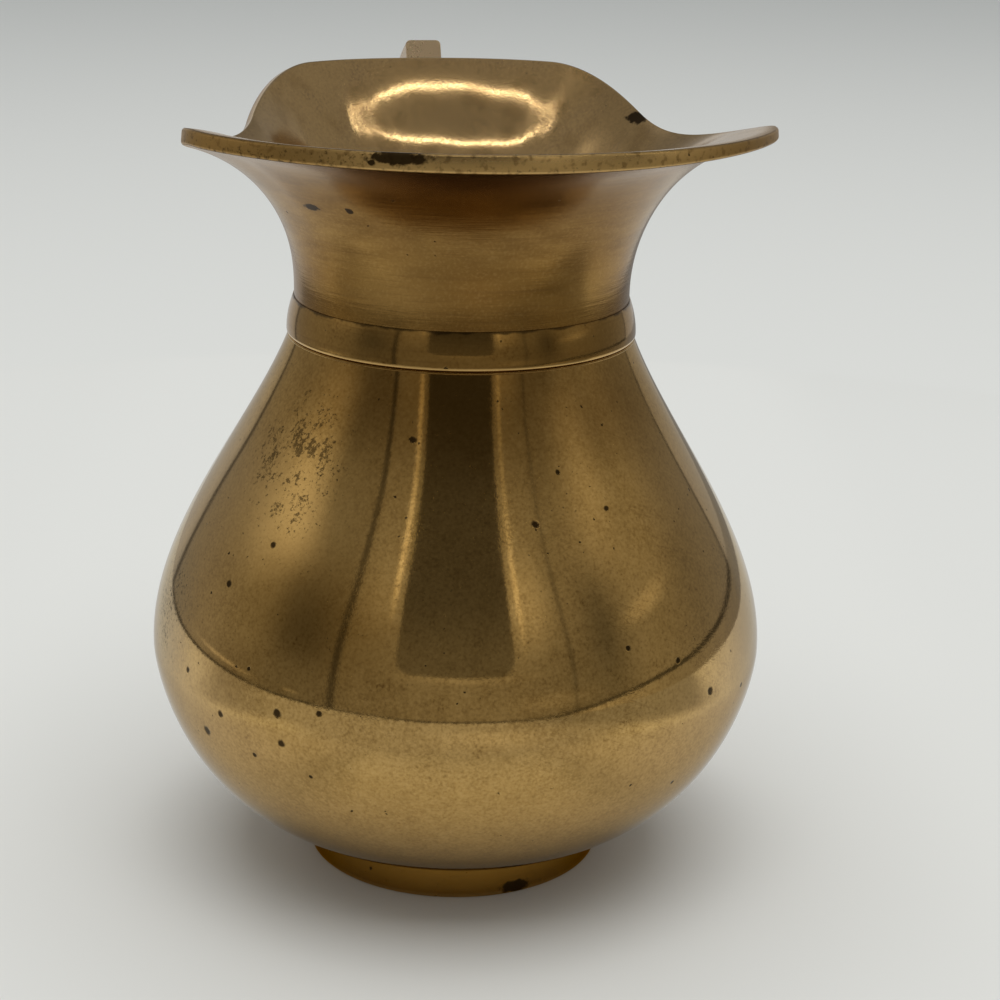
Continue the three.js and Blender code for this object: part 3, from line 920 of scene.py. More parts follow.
class BrassFinish:
    """A brass material that is built up in layers: film, waves, pits, lines, scratches and stains."""

    def __init__(self, name, tarnish, roughness, grain_depth, edge_tint=(1.0, 1.0, 1.0)):
        self.colours = bpy.context.scene.brass_colours
        self.material = bpy.data.materials.new(name)
        self.material.use_nodes = True
        self.tree = self.material.node_tree
        coordinates = add_node(self.tree, "TexCoord", {})["Object"]
        self.spot = add_node(self.tree, "Mapping", {"Vector": coordinates, "Location": -AXIS})["Vector"]
        self.x, self.y, self.z = separate(self.tree, self.spot)
        sockets = {
            "Coordinates": self.spot,
            "Bright": self.colours.bright,
            "Dull": self.colours.dull,
            "Brown": self.colours.brown,
            "Tarnish": tarnish,
        }
        film = add_node(self.tree, "Group", sockets, node_tree=patina_group())
        self.colour = film["Color"]
        self.roughness = calc(self.tree, "MULTIPLY_ADD", film["Film"], FILM_DULLING, roughness)
        self.height = weighted_sum(self.tree, (film["Grain"], grain_depth))
        self.dirt = 0.0
        self.edge_tint = edge_tint

    def group_mask(self, group, output="Mask", **sockets):
        """The mask of a shared effect, placed on this metal."""
        return add_node(self.tree, "Group", {"Coordinates": self.spot, **sockets}, node_tree=group)[output]

    def times(self, first, second):
        return times(self.tree, first, second)

    def ramp(self, value, *limits):
        return ramp(self.tree, value, *limits)

    def by_height(self, start, end, low=0.0, high=1.0):
        """A mask that changes between two heights, given in millimetres."""
        return self.ramp(self.z, start * MM, end * MM, low, high)

    def clouds(self, feature, detail, *limits):
        """A mask of soft clouds, from limits of cloudy noise."""
        return self.ramp(noise(self.tree, self.spot, feature, detail), *limits)

    def spot_mask(self, place, reach, raggedness, softness=0.2):
        """A mask round one place, whose reach along X, Y and Z is in millimetres."""
        return self.group_mask(
            stain_group(), Centre=place, Reach=Vector(reach) * MM, Raggedness=raggedness, Softness=softness,
        )

    def tint(self, mask, colour, strength):
        """Gives the metal one of the brass colours where a mask is."""
        self.colour = mix(self.tree, self.times(mask, strength), self.colour, getattr(self.colours, colour))

    def dull(self, mask, amount):
        """Adds roughness where a mask is."""
        self.roughness = calc(self.tree, "MULTIPLY_ADD", mask, amount, self.roughness)

    def raise_by(self, value, depth):
        """Raises the bumps by a value times a depth."""
        self.height = calc(self.tree, "MULTIPLY_ADD", value, depth, self.height)

    def soil(self, mask):
        """Fills a mask with dirt."""
        self.dirt = calc(self.tree, "MAXIMUM", mask, self.dirt)

    def waves(self, feature, depth):
        """Long soft waves that hand polishing left."""
        self.raise_by(noise(self.tree, self.spot, feature, 1.0), depth)

    def pits(self, spacing, share, reach, depth):
        """Small dirty pits, whose reach is a share of their spacing."""
        mask = self.group_mask(pits_group(), Cells=1.0 / spacing, Share=share, Reach=reach)
        self.soil(mask)
        self.raise_by(mask, -depth)

    def turning_lines(self, spacing, depth, shade, within=1.0):
        """Lathe lines as fine grooves and as darker streaks."""
        lines = self.times(self.group_mask(turning_group(), "Lines", Lines=1.0 / spacing), within)
        self.raise_by(lines, depth)
        self.tint(self.ramp(lines, *LINE_RANGE), "brown", shade)

    def scratches(self, turn, depth, shade):
        """Polishing scratches, turned by degrees round X, Y and Z."""
        mask = self.group_mask(scratches_group(), Turn=[math.radians(degrees) for degrees in turn])
        self.raise_by(mask, -depth)
        self.tint(mask, "brown", shade)

    def flecks(self, feature, cover, strength):
        """Dark specks of corrosion."""
        self.soil(self.times(self.group_mask(flecks_group(), Flecks=1.0 / feature, Cover=cover), strength))

    def film(self, tinted_clouds, place):
        """Soft clouds of colour, each round its own place: mostly tarnish, with the painted highlight and
        shade that the tables mark.
        """
        for turn, height, reach, colour, strength in tinted_clouds:
            reaches = (reach, reach, CLOUD_FLATNESS * reach)
            cloud = self.spot_mask(place(turn, height), reaches, CLOUD_RAGGEDNESS, CLOUD_SOFTNESS)
            self.tint(cloud, colour, strength)

    def paint_slant_sheen(self, strength):
        """Painted sheen: a pale tint where the metal is seen at a slant, standing in for the bright walls
        that it mirrors there.
        """
        slant = add_node(self.tree, "LayerWeight", {"Blend": 0.5})["Facing"]
        self.tint(self.ramp(slant, *SLANT_RANGE), "pale", strength)

    def grain(self, feature, strength):
        """Fine mottling of rubbed and tarnished grains."""
        grains = noise(self.tree, self.spot, feature, 4.0)
        self.tint(self.ramp(grains, *TARNISHED_GRAIN), "brown", strength)
        self.tint(self.ramp(grains, *RUBBED_GRAIN), "worn_and_highlight", strength)

    def wear(self, mask, strength):
        """Rubs an edge bright."""
        self.tint(mask, "worn_and_highlight", strength)
        self.dull(mask, WORN_GLOSS)

    def finish(self):
        """Puts the dirt over all layers, links them to the shader and gives the material."""
        shader = self.tree.nodes["Principled BSDF"]
        shader.inputs["Metallic"].default_value = 1.0
        shader.inputs["Specular Tint"].default_value = (*self.edge_tint, 1.0)
        self.tint(self.dirt, "dirt", DIRT_COVER)
        self.dull(self.dirt, DIRT_DULLING)
        bumps = {"Height": self.height, "Strength": 1.0, "Distance": 1.0}
        bump = add_node(self.tree, "Bump", bumps)["Normal"]
        layers = {"Base Color": self.colour, "Roughness": self.roughness, "Normal": bump}
        for socket, value in layers.items():
            set_socket(self.tree, shader.inputs[socket], value)
        return self.material


# Clouds of colour on the bowl: turn from the lip in degrees, height and reach in millimetres, colour and
# strength. Most are tarnish films; the cloud at -52 degrees is a painted highlight and the brown cloud at 62
# degrees is painted shade.
BOWL_FILMS_AND_PAINTED_LIGHT = (
    (-8.0, 78.5, 16.0, "smoke", 0.72), (-46.0, 76.5, 9.0, "smoke", 0.48), (40.0, 73.0, 9.0, "brown", 0.45),
    (-52.0, 60.0, 10.0, "worn_and_highlight", 0.55), (-40.0, 49.5, 9.0, "amber", 0.45), (-29.0, 46.5, 7.0, "amber", 0.25),
    (-14.0, 75.0, 10.0, "amber", 0.20), (62.0, 39.5, 8.0, "brown", 0.70), (-54.0, 39.5, 5.0, "brown", 0.30),
)
# Large pits of the bowl: turn from the lip in degrees, height and reach in millimetres
BOWL_PITS = (
    (-23.4, 71.1, 0.42), (6.1, 61.2, 0.50), (-42.9, 35.7, 0.62), (-42.2, 31.4, 0.55), (-60.6, 49.7, 0.50),
    (24.5, 61.9, 0.35), (32.5, 41.7, 0.45), (21.4, 45.0, 0.38), (40.7, 35.6, 0.60), (-52.4, 56.0, 0.40),
    (-56.5, 32.6, 0.50), (-62.0, 28.5, 0.70), (-34.6, 37.0, 0.40), (14.0, 67.0, 0.32), (-67.0, 36.5, 0.42),
    (-49.0, 28.0, 0.36), (-37.0, 27.0, 0.30), (54.0, 33.0, 0.38), (36.0, 22.0, 0.34), (-50.0, 40.5, 0.30),
)
BOWL_PIT_DEPTH = 0.04 * MM
# Directions of the polishing scratches: turns in degrees round X, Y and Z
BOWL_SCRATCHES = ((0.0, 8.0, 75.0), (0.0, 25.0, 20.0))
# Corroded and grey places of the bowl: turn and height of the middle, reach along X, Y and Z, raggedness
# and softness
CORRODED_PLACE = ((-55.0, 66.0), (7.5, 7.5, 9.5), 0.8, 0.8)
GREY_PLACE = ((-80.0, 42.0), (5.0, 7.0, 9.0), 1.4, 0.6)


def bowl_brass(sizes):
    """Polished brass, duller low down and up the shoulder, with a corroded place at the left. Its colour also
    carries painted sheen at slants, a painted highlight at the left and painted shade at the lower right
    edge.
    """
    finish = BrassFinish(
        "bowl_brass", tarnish=0.28, roughness=0.055, grain_depth=0.0025 * MM, edge_tint=(0.80, 0.78, 0.72),
    )

    def on_bowl(turn, height):
        return turned(math.radians(turn), at(bowl_radius(sizes, height * MM), height * MM))

    finish.waves(feature=20.0 * MM, depth=0.12 * MM)
    for turn in BOWL_SCRATCHES:
        finish.scratches(turn, depth=0.001 * MM, shade=0.25)
    places = (CORRODED_PLACE, GREY_PLACE)
    corroded, grey = (finish.spot_mask(on_bowl(*place), *form) for place, *form in places)
    finish.tint(grey, "grey", 0.35)
    finish.tint(finish.by_height(36.0, 24.0), "dull", 0.6)
    finish.tint(finish.by_height(44.0, 68.0), "dull", 0.45)
    finish.grain(feature=0.45 * MM, strength=0.26)
    finish.grain(feature=1.3 * MM, strength=0.12)
    # Tarnish films, a painted highlight and painted shade, from the table.
    finish.film(BOWL_FILMS_AND_PAINTED_LIGHT, on_bowl)
    # Painted sheen where the bowl is seen at a slant, strongest between 38 and 60 mm up.
    painted_sheen = finish.times(finish.by_height(24.0, 38.0, 0.15, 0.45), finish.by_height(60.0, 74.0, 1.0, 0.2))
    finish.paint_slant_sheen(painted_sheen)
    patches = finish.clouds(11.0 * MM, 3.0, 0.42, 0.70, 0.0, 0.16)
    shoulder = finish.by_height(28.0, 46.0, 0.0, 0.20)
    corroded = finish.times(corroded, finish.clouds(2.4 * MM, 3.0, 0.42, 0.62, 0.35, 1.0))
    cover = weighted_sum(finish.tree, (corroded, 0.80), (grey, 0.4), (patches, 1.0), (shoulder, 1.0))
    finish.flecks(feature=0.5 * MM, cover=cover, strength=0.75)
    crowd = weighted_sum(finish.tree, (corroded, 0.7), (patches, 1.2), (shoulder, 0.5))
    finish.pits(spacing=1.2 * MM, share=crowd, reach=0.17, depth=0.008 * MM)
    finish.pits(spacing=2.4 * MM, share=0.35, reach=0.11, depth=0.02 * MM)
    for turn, height, reach in BOWL_PITS:
        pit = finish.spot_mask(on_bowl(turn, height), (reach,) * 3, raggedness=0.9, softness=0.35)
        finish.soil(pit)
        finish.raise_by(pit, -BOWL_PIT_DEPTH)
    return finish.finish()


# Clouds of colour on the neck, as on the bowl. The brown clouds at -14 and -4 degrees paint the reflection of
# the tent's dark doorway on the neck's front; the rest are tarnish films.
NECK_FILMS_AND_PAINTED_SHADE = (
    (-33.0, 89.5, 7.0, "bright", 0.25), (-14.0, 97.0, 8.0, "brown", 0.35), (26.0, 101.0, 8.0, "brown", 0.45),
    (-4.0, 88.0, 8.0, "brown", 0.40), (38.0, 89.0, 5.0, "bright", 0.20), (34.0, 95.0, 6.0, "brown", 0.25),
)
# Where the neck's clouds lie: the height in millimetres where the neck starts to open, and how fast it does
FILM_OPENING, FILM_SLOPE = 86.0, 0.3
# Bands round the neck's outside: heights in millimetres where each starts and is full, colour and strength
NECK_BANDS = ((100.0, 90.0, "amber", 0.52), (102.0, 107.0, "bright", 0.20), (96.0, 104.0, "amber", 0.38))
# Dark stains of the neck: turn in degrees, height and radius in millimetres, reach along X, Y and Z
NECK_STAINS = (
    (-21.5, 110.9, 44.2, (4.6, 2.4, 0.8)),
    (-25.6, 110.2, 44.2, (0.5, 0.5, 0.4)),
    (-55.0, 100.7, 29.0, (1.3, 1.6, 0.45)),
    (-41.6, 101.0, 29.2, (0.55, 0.55, 0.55)),
    (112.0, 108.3, 30.2, (1.6, 2.0, 0.8)),
)
STREAK_SQUASH = (1.0, 1.0, 4.0)


def neck_brass(sizes):
    """Brown satin brass with streaks and lathe lines outside, paler inside and rubbed along the lip."""
    finish = BrassFinish("neck_brass", tarnish=0.30, roughness=0.04, grain_depth=0.0012 * MM)
    tree = finish.tree

    def on_neck(turn, height, radius):
        return turned(math.radians(turn), at(radius * MM, height * MM))

    def on_flare(turn, height):
        return on_neck(turn, height, sizes.neck_radius / MM + FILM_SLOPE * max(height - FILM_OPENING, 0.0))

    names = ("outside", "rim")
    outside, rim = (add_node(tree, "Attribute", {}, attribute_name=name)["Fac"] for name in names)
    inside = calc(tree, "SUBTRACT", 1.0, outside)
    across = calc(tree, "ABSOLUTE", finish.x)
    lip = finish.times(rim, finish.ramp(finish.y, 5.0 * MM, -12.0 * MM))

    finish.tint(inside, "pale", 0.35)
    finish.tint(finish.times(inside, finish.clouds(5.0 * MM, 4.0, 0.50, 0.70)), "brown", 0.25)
    finish.dull(finish.times(inside, finish.ramp(across, 17.0 * MM, 23.0 * MM)), 0.14)
    finish.tint(finish.times(outside, calc(tree, "SUBTRACT", 1.0, lip)), "brown", 0.75)

    streaks = noise(tree, vector_calc(tree, "MULTIPLY", finish.spot, STREAK_SQUASH), 7.0 * MM, 8.0)
    finish.tint(finish.times(finish.ramp(streaks, 0.52, 0.34), outside), "dull", 0.32)
    for start, full, colour, strength in NECK_BANDS:
        finish.tint(finish.times(finish.by_height(start, full), outside), colour, strength)
    finish.tint(finish.times(finish.ramp(streaks, 0.48, 0.70), outside), "smoke", 0.30)
    # Tarnish films, and painted shade on the neck's front, from the table.
    finish.film(NECK_FILMS_AND_PAINTED_SHADE, on_flare)
    finish.dull(outside, 0.16)
    finish.grain(feature=0.4 * MM, strength=0.09)
    finish.turning_lines(spacing=0.55 * MM, depth=0.025 * MM, shade=0.35, within=outside)
    finish.pits(spacing=3.0 * MM, share=0.40, reach=0.10, depth=0.02 * MM)
    finish.flecks(feature=0.7 * MM, cover=0.16, strength=0.6)

    low_edge = finish.times(lip, finish.ramp(outside, 0.5, 1.0))
    left = finish.times(lip, finish.ramp(finish.x, -10.0 * MM, -26.0 * MM))
    finish.wear(lip, 0.8)
    finish.tint(finish.times(lip, finish.ramp(across, 14.0 * MM, 32.0 * MM)), "amber", 0.55)
    finish.tint(finish.times(lip, finish.clouds(0.9 * MM, 5.0, 0.52, 0.66)), "brown", 0.5)
    finish.dull(lip, 0.20)
    cover = weighted_sum(tree, (lip, 0.30), (low_edge, 0.12), (left, 0.18))
    finish.flecks(feature=0.8 * MM, cover=cover, strength=0.7)
    for turn, height, radius, reach in NECK_STAINS:
        finish.soil(finish.spot_mask(on_neck(turn, height, radius), reach, raggedness=1.2))
    return finish.finish()


# Dirt along the collar's upper edge, and its rubbed lower edge: where each starts and is full, off the edge
COLLAR_DIRT, COLLAR_DIRT_WANDER = (0.35 * MM, 0.75 * MM), 1.4 * MM
COLLAR_WEAR = (0.6 * MM, 0.3 * MM)


def collar_brass(sizes):
    """Polished brass, darker in front, with a dirty line along its upper edge."""
    finish = BrassFinish("collar_brass", tarnish=0.45, roughness=0.07, grain_depth=0.003 * MM)
    front = finish.ramp(finish.y, -14.0 * MM, -24.0 * MM)
    finish.tint(1.0, "brown", 0.35)
    finish.tint(front, "smoke", 0.22)
    finish.tint(front, "amber", 0.25)
    finish.turning_lines(spacing=0.6 * MM, depth=0.010 * MM, shade=0.3)
    finish.pits(spacing=2.4 * MM, share=0.40, reach=0.12, depth=0.02 * MM)
    finish.flecks(feature=0.7 * MM, cover=0.22, strength=0.6)
    finish.wear(finish.ramp(finish.z, *(sizes.shoulder_height + edge for edge in COLLAR_WEAR)), 0.8)
    wander = noise(finish.tree, finish.spot, 3.0 * MM, 3.0)
    uneven = calc(finish.tree, "MULTIPLY_ADD", wander, COLLAR_DIRT_WANDER, finish.z)
    finish.soil(finish.ramp(uneven, *(sizes.collar_top + edge for edge in COLLAR_DIRT), 0.0, 0.8))
    return finish.finish()


# The stain at the foot's lower edge: turn, height in millimetres, and reach along X, Y and Z
FOOT_STAIN = (14.0, 1.1, (2.4, 2.0, 0.9))


def foot_brass(sizes):
    """Turned brass under a warm tarnish, rubbed where it stands."""
    finish = BrassFinish(
        "foot_brass", tarnish=0.55, roughness=0.24, grain_depth=0.004 * MM, edge_tint=(0.90, 0.56, 0.12),
    )
    turn, height, reach = FOOT_STAIN
    finish.tint(1.0, "amber", 0.92)
    finish.turning_lines(spacing=0.5 * MM, depth=0.02 * MM, shade=0.35)
    finish.pits(spacing=2.2 * MM, share=0.40, reach=0.13, depth=0.02 * MM)
    finish.flecks(feature=1.2 * MM, cover=0.3, strength=0.55)
    place = turned(math.radians(turn), at(sizes.foot_radius, height * MM))
    finish.soil(finish.spot_mask(place, reach, raggedness=1.0))
    finish.wear(finish.by_height(0.9, 0.2), 0.5)
    return finish.finish()


def handle_brass():
    """Pale cast brass, filed along the strap."""
    finish = BrassFinish("handle_brass", tarnish=0.40, roughness=0.26, grain_depth=0.006 * MM)
    finish.tint(1.0, "pale", 0.8)
    finish.waves(feature=6.0 * MM, depth=0.06 * MM)
    finish.scratches((0.0, 90.0, 0.0), depth=0.006 * MM, shade=0.3)
    finish.pits(spacing=2.4 * MM, share=0.40, reach=0.12, depth=0.02 * MM)
    return finish.finish()


# Stage

SENSOR_WIDTH = 36.0
FLOOR_SIDE, FLOOR_ROUGHNESS, FLOOR_GLOSS = 8.0, 0.6, 0.2
TENT_SIDES, SHEET_SIDES = 128, 64
SHEET_LIFT = 0.2 * MM
SHEET_COLOUR = (1.0, 0.99, 0.95, 1.0)
AIR_COLOUR = (0.80, 0.84, 0.86, 1.0)
FULL_TURN = 360.0


def stage_matrix(stage):
    """The tent and the camera turn together round the pitcher's axis."""
    return Matrix.Translation(AXIS) @ Matrix.Rotation(stage.turn, 4, "Z")


def add_camera(stage):
    """Stands the camera where the photo was taken from."""
    camera = bpy.data.cameras.new("photo_camera")
    camera.sensor_width = SENSOR_WIDTH
    camera.lens = stage.lens
    holder = bpy.data.objects.new("photo_camera", camera)
    bpy.context.scene.collection.objects.link(holder)
    place = Matrix.Translation((0.0, -stage.camera_distance, stage.camera_height))
    heading = Matrix.Rotation(-stage.camera_heading, 4, "Z")
    look_down = Matrix.Rotation(math.pi / 2 - stage.camera_pitch, 4, "X")
    roll = Matrix.Rotation(stage.camera_roll, 4, "Z")
    holder.matrix_world = stage_matrix(stage) @ place @ heading @ look_down @ roll
    bpy.context.scene.camera = holder


def add_card(name, place, material):
    """Places the tent sheet that was just added. Only the metal mirrors it: it hides and shades nothing."""
    card = bpy.context.object
    card.name = name
    card.matrix_world = place
    card.data.materials.append(material)
    for ray in ("camera", "diffuse", "transmission", "volume_scatter", "shadow"):
        setattr(card, "visible_" + ray, False)


def glow_material(name, strength):
    """A plain glow, and the tree and shader to build more on."""
    material = bpy.data.materials.new(name)
    material.use_nodes = True
    material.cycles.emission_sampling = "NONE"
    tree = material.node_tree
    tree.nodes.clear()
    glow = tree.nodes.new("ShaderNodeEmission")
    glow.inputs["Strength"].default_value = strength
    add_node(tree, "OutputMaterial", {"Surface": glow.outputs["Emission"]})
    return material, tree, glow


# Glow of the tent's wall by turn in degrees from the camera's side; the narrow dips are the tent's corners
WALL_LEVELS = (
    (-180, 0.60), (-139, 0.56), (-134.8, 0.46), (-134.2, 0.13), (-132.2, 0.13), (-131.8, 0.34),
    (-100, 0.35), (-88, 0.34), (-75, 0.30), (-64, 0.22), (-46, 0.22),
    (-43.0, 0.24), (-42.4, 0.09), (-40.7, 0.09), (-40.1, 0.28),
    (-22, 0.30), (0, 0.33), (22, 0.33), (38, 0.27),
    (40.4, 0.25), (40.7, 0.15), (41.7, 0.15), (42.0, 0.26),
    (56, 0.22), (72, 0.32), (88, 0.29), (100, 0.25),
    (129.6, 0.28), (130.1, 0.11), (131.2, 0.11), (131.7, 0.44), (180, 0.60),
)
# Height of the strip of lamps, in metres, by turn in degrees
STRIP_HEIGHTS = (
    (-180, 0.240), (-95, 0.349), (-83, 0.370), (-75, 0.380), (-65, 0.398), (-55, 0.419), (-45, 0.433),
    (-22, 0.458), (0, 0.456), (25, 0.438), (43, 0.426), (52, 0.418), (68, 0.398), (80, 0.372),
    (85, 0.359), (95, 0.338), (180, 0.240),
)
# Brighter and darker patches of the wall, one of them high up: turn in degrees and height in millimetres
# of the middle, reach in the same units, glow added
WALL_PATCHES = (
    (-88, 185, 18, 55, 0.14), (-57, 140, 15, 80, -0.08), (-78, 222, 18, 50, 0.27), (76, 137, 14, 16, 0.22),
    (66, 265, 18, 70, 0.20), (92, 180, 22, 60, 0.07), (56, 150, 10, 90, -0.08), (34, 40, 16, 24, 0.11),
    (28, 215, 10, 75, 0.20), (-30, 225, 11, 70, 0.08), (-24.6, 285, 1.8, 90, 0.75),
    (24.4, 255, 1.5, 110, 0.5), (4, 98, 26, 9, 0.10), (-87, 18, 17, 3.5, 0.45), (-57, 20, 4, 3.0, 0.25),
)
HIGH_PATCHES = ((-103.4, 302, 9, 20, 0.5),)
# Brighter patches of the floor by the doorway: right and ahead of the pitcher and reach in millimetres, and
# glow added
SHEET_PATCHES = ((34, 160, 60, 55, 0.15),)
PATCH_FADE = 1.3  # Where a patch has faded out, in reaches from its middle

# Ramps of the wall's glow: from and to, in millimetres of height or in degrees of turn, and the values there
WALL_BY_HEIGHT = (90.0, 220.0, 0.92, 1.12)
DOOR_BY_HEIGHT = (120.0, 250.0, 0.155, 0.095)
DOOR_EDGE = 2.0
HEM_HEIGHT_BY_TURN = (25.0, 80.0, 1.0, 31.0)
HEM_EDGE = (1.0, -1.0)
FLOOR_BY_TURN = ((45.0, 85.0, 0.52, 0.28), (-45.0, -85.0, 0.52, 0.40))
CREASE_BY_HEIGHT = (5.5, 3.0, 1.0, 0.25)
CREASE_END = (128.0, 133.0)
HIGH_WALL = (-85.0, -55.0)
ABOVE_STRIP = (0.0, 25.0, 1.0, 0.8)
STRIP_NARROWING, STRIP_NARROWEST = (35.0, 66.0), 0.27
STRIP_ENDS = ((-75.8, -69.0), (90.0, 84.0))
BACK_TINT = (127.0, 136.0)

# Ramps of the floor sheet: from and to, in millimetres aside, ahead or right of the pitcher, and values there
SHEET_BESIDE = ((30.0, 60.0, 0.46, 0.62), (90.0, 130.0, 1.0, 0.76))
SHEET_AHEAD, SHEET_LEVEL = (60.0, 110.0), 0.50
SHEET_RIGHT = (95.0, 150.0, 1.0, 0.72)
NEAR_COVER = ((24.0, 44.0), (105.0, 75.0))
FAR_COVER_ASIDE, FAR_COVER_AHEAD = (95.0, 125.0), (-20.0, 20.0)
AHEAD_COVER = (55.0, 100.0)


def by_turn(tree, around, table, interpolation):
    """A value that follows a table of turns round the tent."""
    node = tree.nodes.new("ShaderNodeValToRGB")
    set_socket(tree, node.inputs["Fac"], calc(tree, "MULTIPLY_ADD", around, 1 / FULL_TURN, 0.5))
    node.color_ramp.interpolation = interpolation
    stops = node.color_ramp.elements
    stops[0].position, stops[1].position = 0.0, 1.0
    for turn, _ in table[1:-1]:
        stops.new(turn / FULL_TURN + 0.5)
    for stop, (_, level) in zip(stops, table):
        stop.color = (level, level, level, 1.0)
    return add_node(tree, "SeparateColor", {"Color": node.outputs["Color"]})["Red"]


def both(tree, value, ramps):
    """The product of two ramps of one value."""
    first, second = (ramp(tree, value, *limits) for limits in ramps)
    return times(tree, first, second)


def add_patches(tree, spot, level, patches):
    """Adds soft patches to a glow."""
    for across, up, wide, high, gain in patches:
        offset = vector_calc(tree, "SUBTRACT", spot, (across, up, 0.0))
        away = vector_calc(tree, "LENGTH", vector_calc(tree, "DIVIDE", offset, (wide, high, 1.0)))
        level = calc(tree, "ADD", level, ramp(tree, away, 0.0, PATCH_FADE, gain, 0.0))
    return level


def doorway(tree, around, height, stage):
    """The tent's dark doorway with its rounded lower corners."""
    soft = stage.door_corner / MM
    degree = math.radians(stage.tent_radius / MM)
    aside = times(tree, calc(tree, "ABSOLUTE", around), degree)
    past_side = calc(tree, "SUBTRACT", aside, math.degrees(stage.door_half_turn) * degree - soft)
    past_sill = calc(tree, "SUBTRACT", stage.door_sill / MM + soft, height)
    past = {"X": calc(tree, "MAXIMUM", past_side, 0.0), "Y": calc(tree, "MAXIMUM", past_sill, 0.0)}
    corner = add_node(tree, "CombineXYZ", past)["Vector"]
    return ramp(tree, vector_calc(tree, "LENGTH", corner), soft + DOOR_EDGE, soft - DOOR_EDGE)


def wall_glow(stage):
    """What the metal mirrors round about: the tent's corners, folds, doorway, hem and strip of lamps."""
    material, tree, glow = glow_material("tent_wall", 1.0)
    x, y, z = separate(tree, add_node(tree, "TexCoord", {})["Object"])
    around = calc(tree, "DEGREES", calc(tree, "ARCTAN2", x, times(tree, y, -1.0)))
    aside = calc(tree, "ABSOLUTE", around)
    height = calc(tree, "DIVIDE", z, MM)
    spot = add_node(tree, "CombineXYZ", {"X": around, "Y": height})["Vector"]

    level = times(tree, by_turn(tree, around, WALL_LEVELS, "LINEAR"), ramp(tree, height, *WALL_BY_HEIGHT))
    level = add_patches(tree, spot, level, WALL_PATCHES)
    level = blend(tree, doorway(tree, around, height, stage), level, ramp(tree, height, *DOOR_BY_HEIGHT))

    below = calc(tree, "SUBTRACT", height, ramp(tree, around, *HEM_HEIGHT_BY_TURN))
    far_floor = calc(tree, "MINIMUM", *(ramp(tree, around, *limits) for limits in FLOOR_BY_TURN))
    level = blend(tree, ramp(tree, below, *HEM_EDGE), level, far_floor)
    crease = ramp(tree, calc(tree, "ABSOLUTE", below), *CREASE_BY_HEIGHT)
    level = times(tree, level, calc(tree, "MAXIMUM", crease, ramp(tree, aside, *CREASE_END)))

    strip = calc(tree, "DIVIDE", by_turn(tree, around, STRIP_HEIGHTS, "CARDINAL"), MM)
    above = calc(tree, "SUBTRACT", height, strip)
    level = blend(tree, ramp(tree, above, *HIGH_WALL), level, stage.high_glow)
    level = times(tree, level, ramp(tree, above, *ABOVE_STRIP))
    level = add_patches(tree, spot, level, HIGH_PATCHES)
    width = stage.strip_width / MM
    reach = ramp(tree, aside, *STRIP_NARROWING, width, STRIP_NARROWEST * width)
    lit = ramp(tree, calc(tree, "ABSOLUTE", above), reach, 0.0)
    lit = times(tree, lit, both(tree, around, STRIP_ENDS))
    level = calc(tree, "MULTIPLY_ADD", lit, stage.strip_glow, level)

    tint = mix(tree, ramp(tree, aside, *BACK_TINT), stage.wall_colour, stage.back_colour)
    set_socket(tree, glow.inputs["Color"], tint)
    set_socket(tree, glow.inputs["Strength"], level)
    return material


def sheet_glow():
    """A glowing sheet that only the metal mirrors. It paints the floor's reflection: darker by the tent's
    doorway, which gets less light, and lighter beside the pitcher than its contact shadow.
    """
    material, tree, glow = glow_material("painted_floor_reflection", 1.0)
    x, y, _ = separate(tree, add_node(tree, "TexCoord", {})["Object"])
    right = calc(tree, "DIVIDE", x, MM)
    ahead = calc(tree, "DIVIDE", y, -MM)
    aside = calc(tree, "ABSOLUTE", right)
    spot = add_node(tree, "CombineXYZ", {"X": right, "Y": ahead})["Vector"]
    level = ramp(tree, ahead, *SHEET_AHEAD, both(tree, aside, SHEET_BESIDE), SHEET_LEVEL)
    level = add_patches(tree, spot, level, SHEET_PATCHES)
    glow.inputs["Color"].default_value = SHEET_COLOUR
    set_socket(tree, glow.inputs["Strength"], times(tree, level, ramp(tree, right, *SHEET_RIGHT)))

    far = times(tree, ramp(tree, aside, *FAR_COVER_ASIDE), ramp(tree, ahead, *FAR_COVER_AHEAD))
    beside = calc(tree, "MAXIMUM", both(tree, aside, NEAR_COVER), far)
    clear = tree.nodes.new("ShaderNodeBsdfTransparent")
    cover = tree.nodes.new("ShaderNodeMixShader")
    set_socket(tree, cover.inputs["Fac"], calc(tree, "MAXIMUM", ramp(tree, ahead, *AHEAD_COVER), beside))
    tree.links.new(clear.outputs["BSDF"], cover.inputs[1])
    tree.links.new(glow.outputs["Emission"], cover.inputs[2])
    output = next(node for node in tree.nodes if node.type == "OUTPUT_MATERIAL")
    tree.links.new(cover.outputs["Shader"], output.inputs["Surface"])
    return material


def add_floor(stage):
    """A plain pale floor."""
    bpy.ops.mesh.primitive_plane_add(size=FLOOR_SIDE)
    floor = bpy.context.object
    floor.name = "floor"
    pale = bpy.data.materials.new("pale_floor")
    pale.use_nodes = True
    shader = pale.node_tree.nodes["Principled BSDF"]
    shader.inputs["Base Color"].default_value = (*stage.floor_colour, 1.0)
    shader.inputs["Roughness"].default_value = FLOOR_ROUGHNESS
    shader.inputs["Specular IOR Level"].default_value = FLOOR_GLOSS
    floor.data.materials.append(pale)


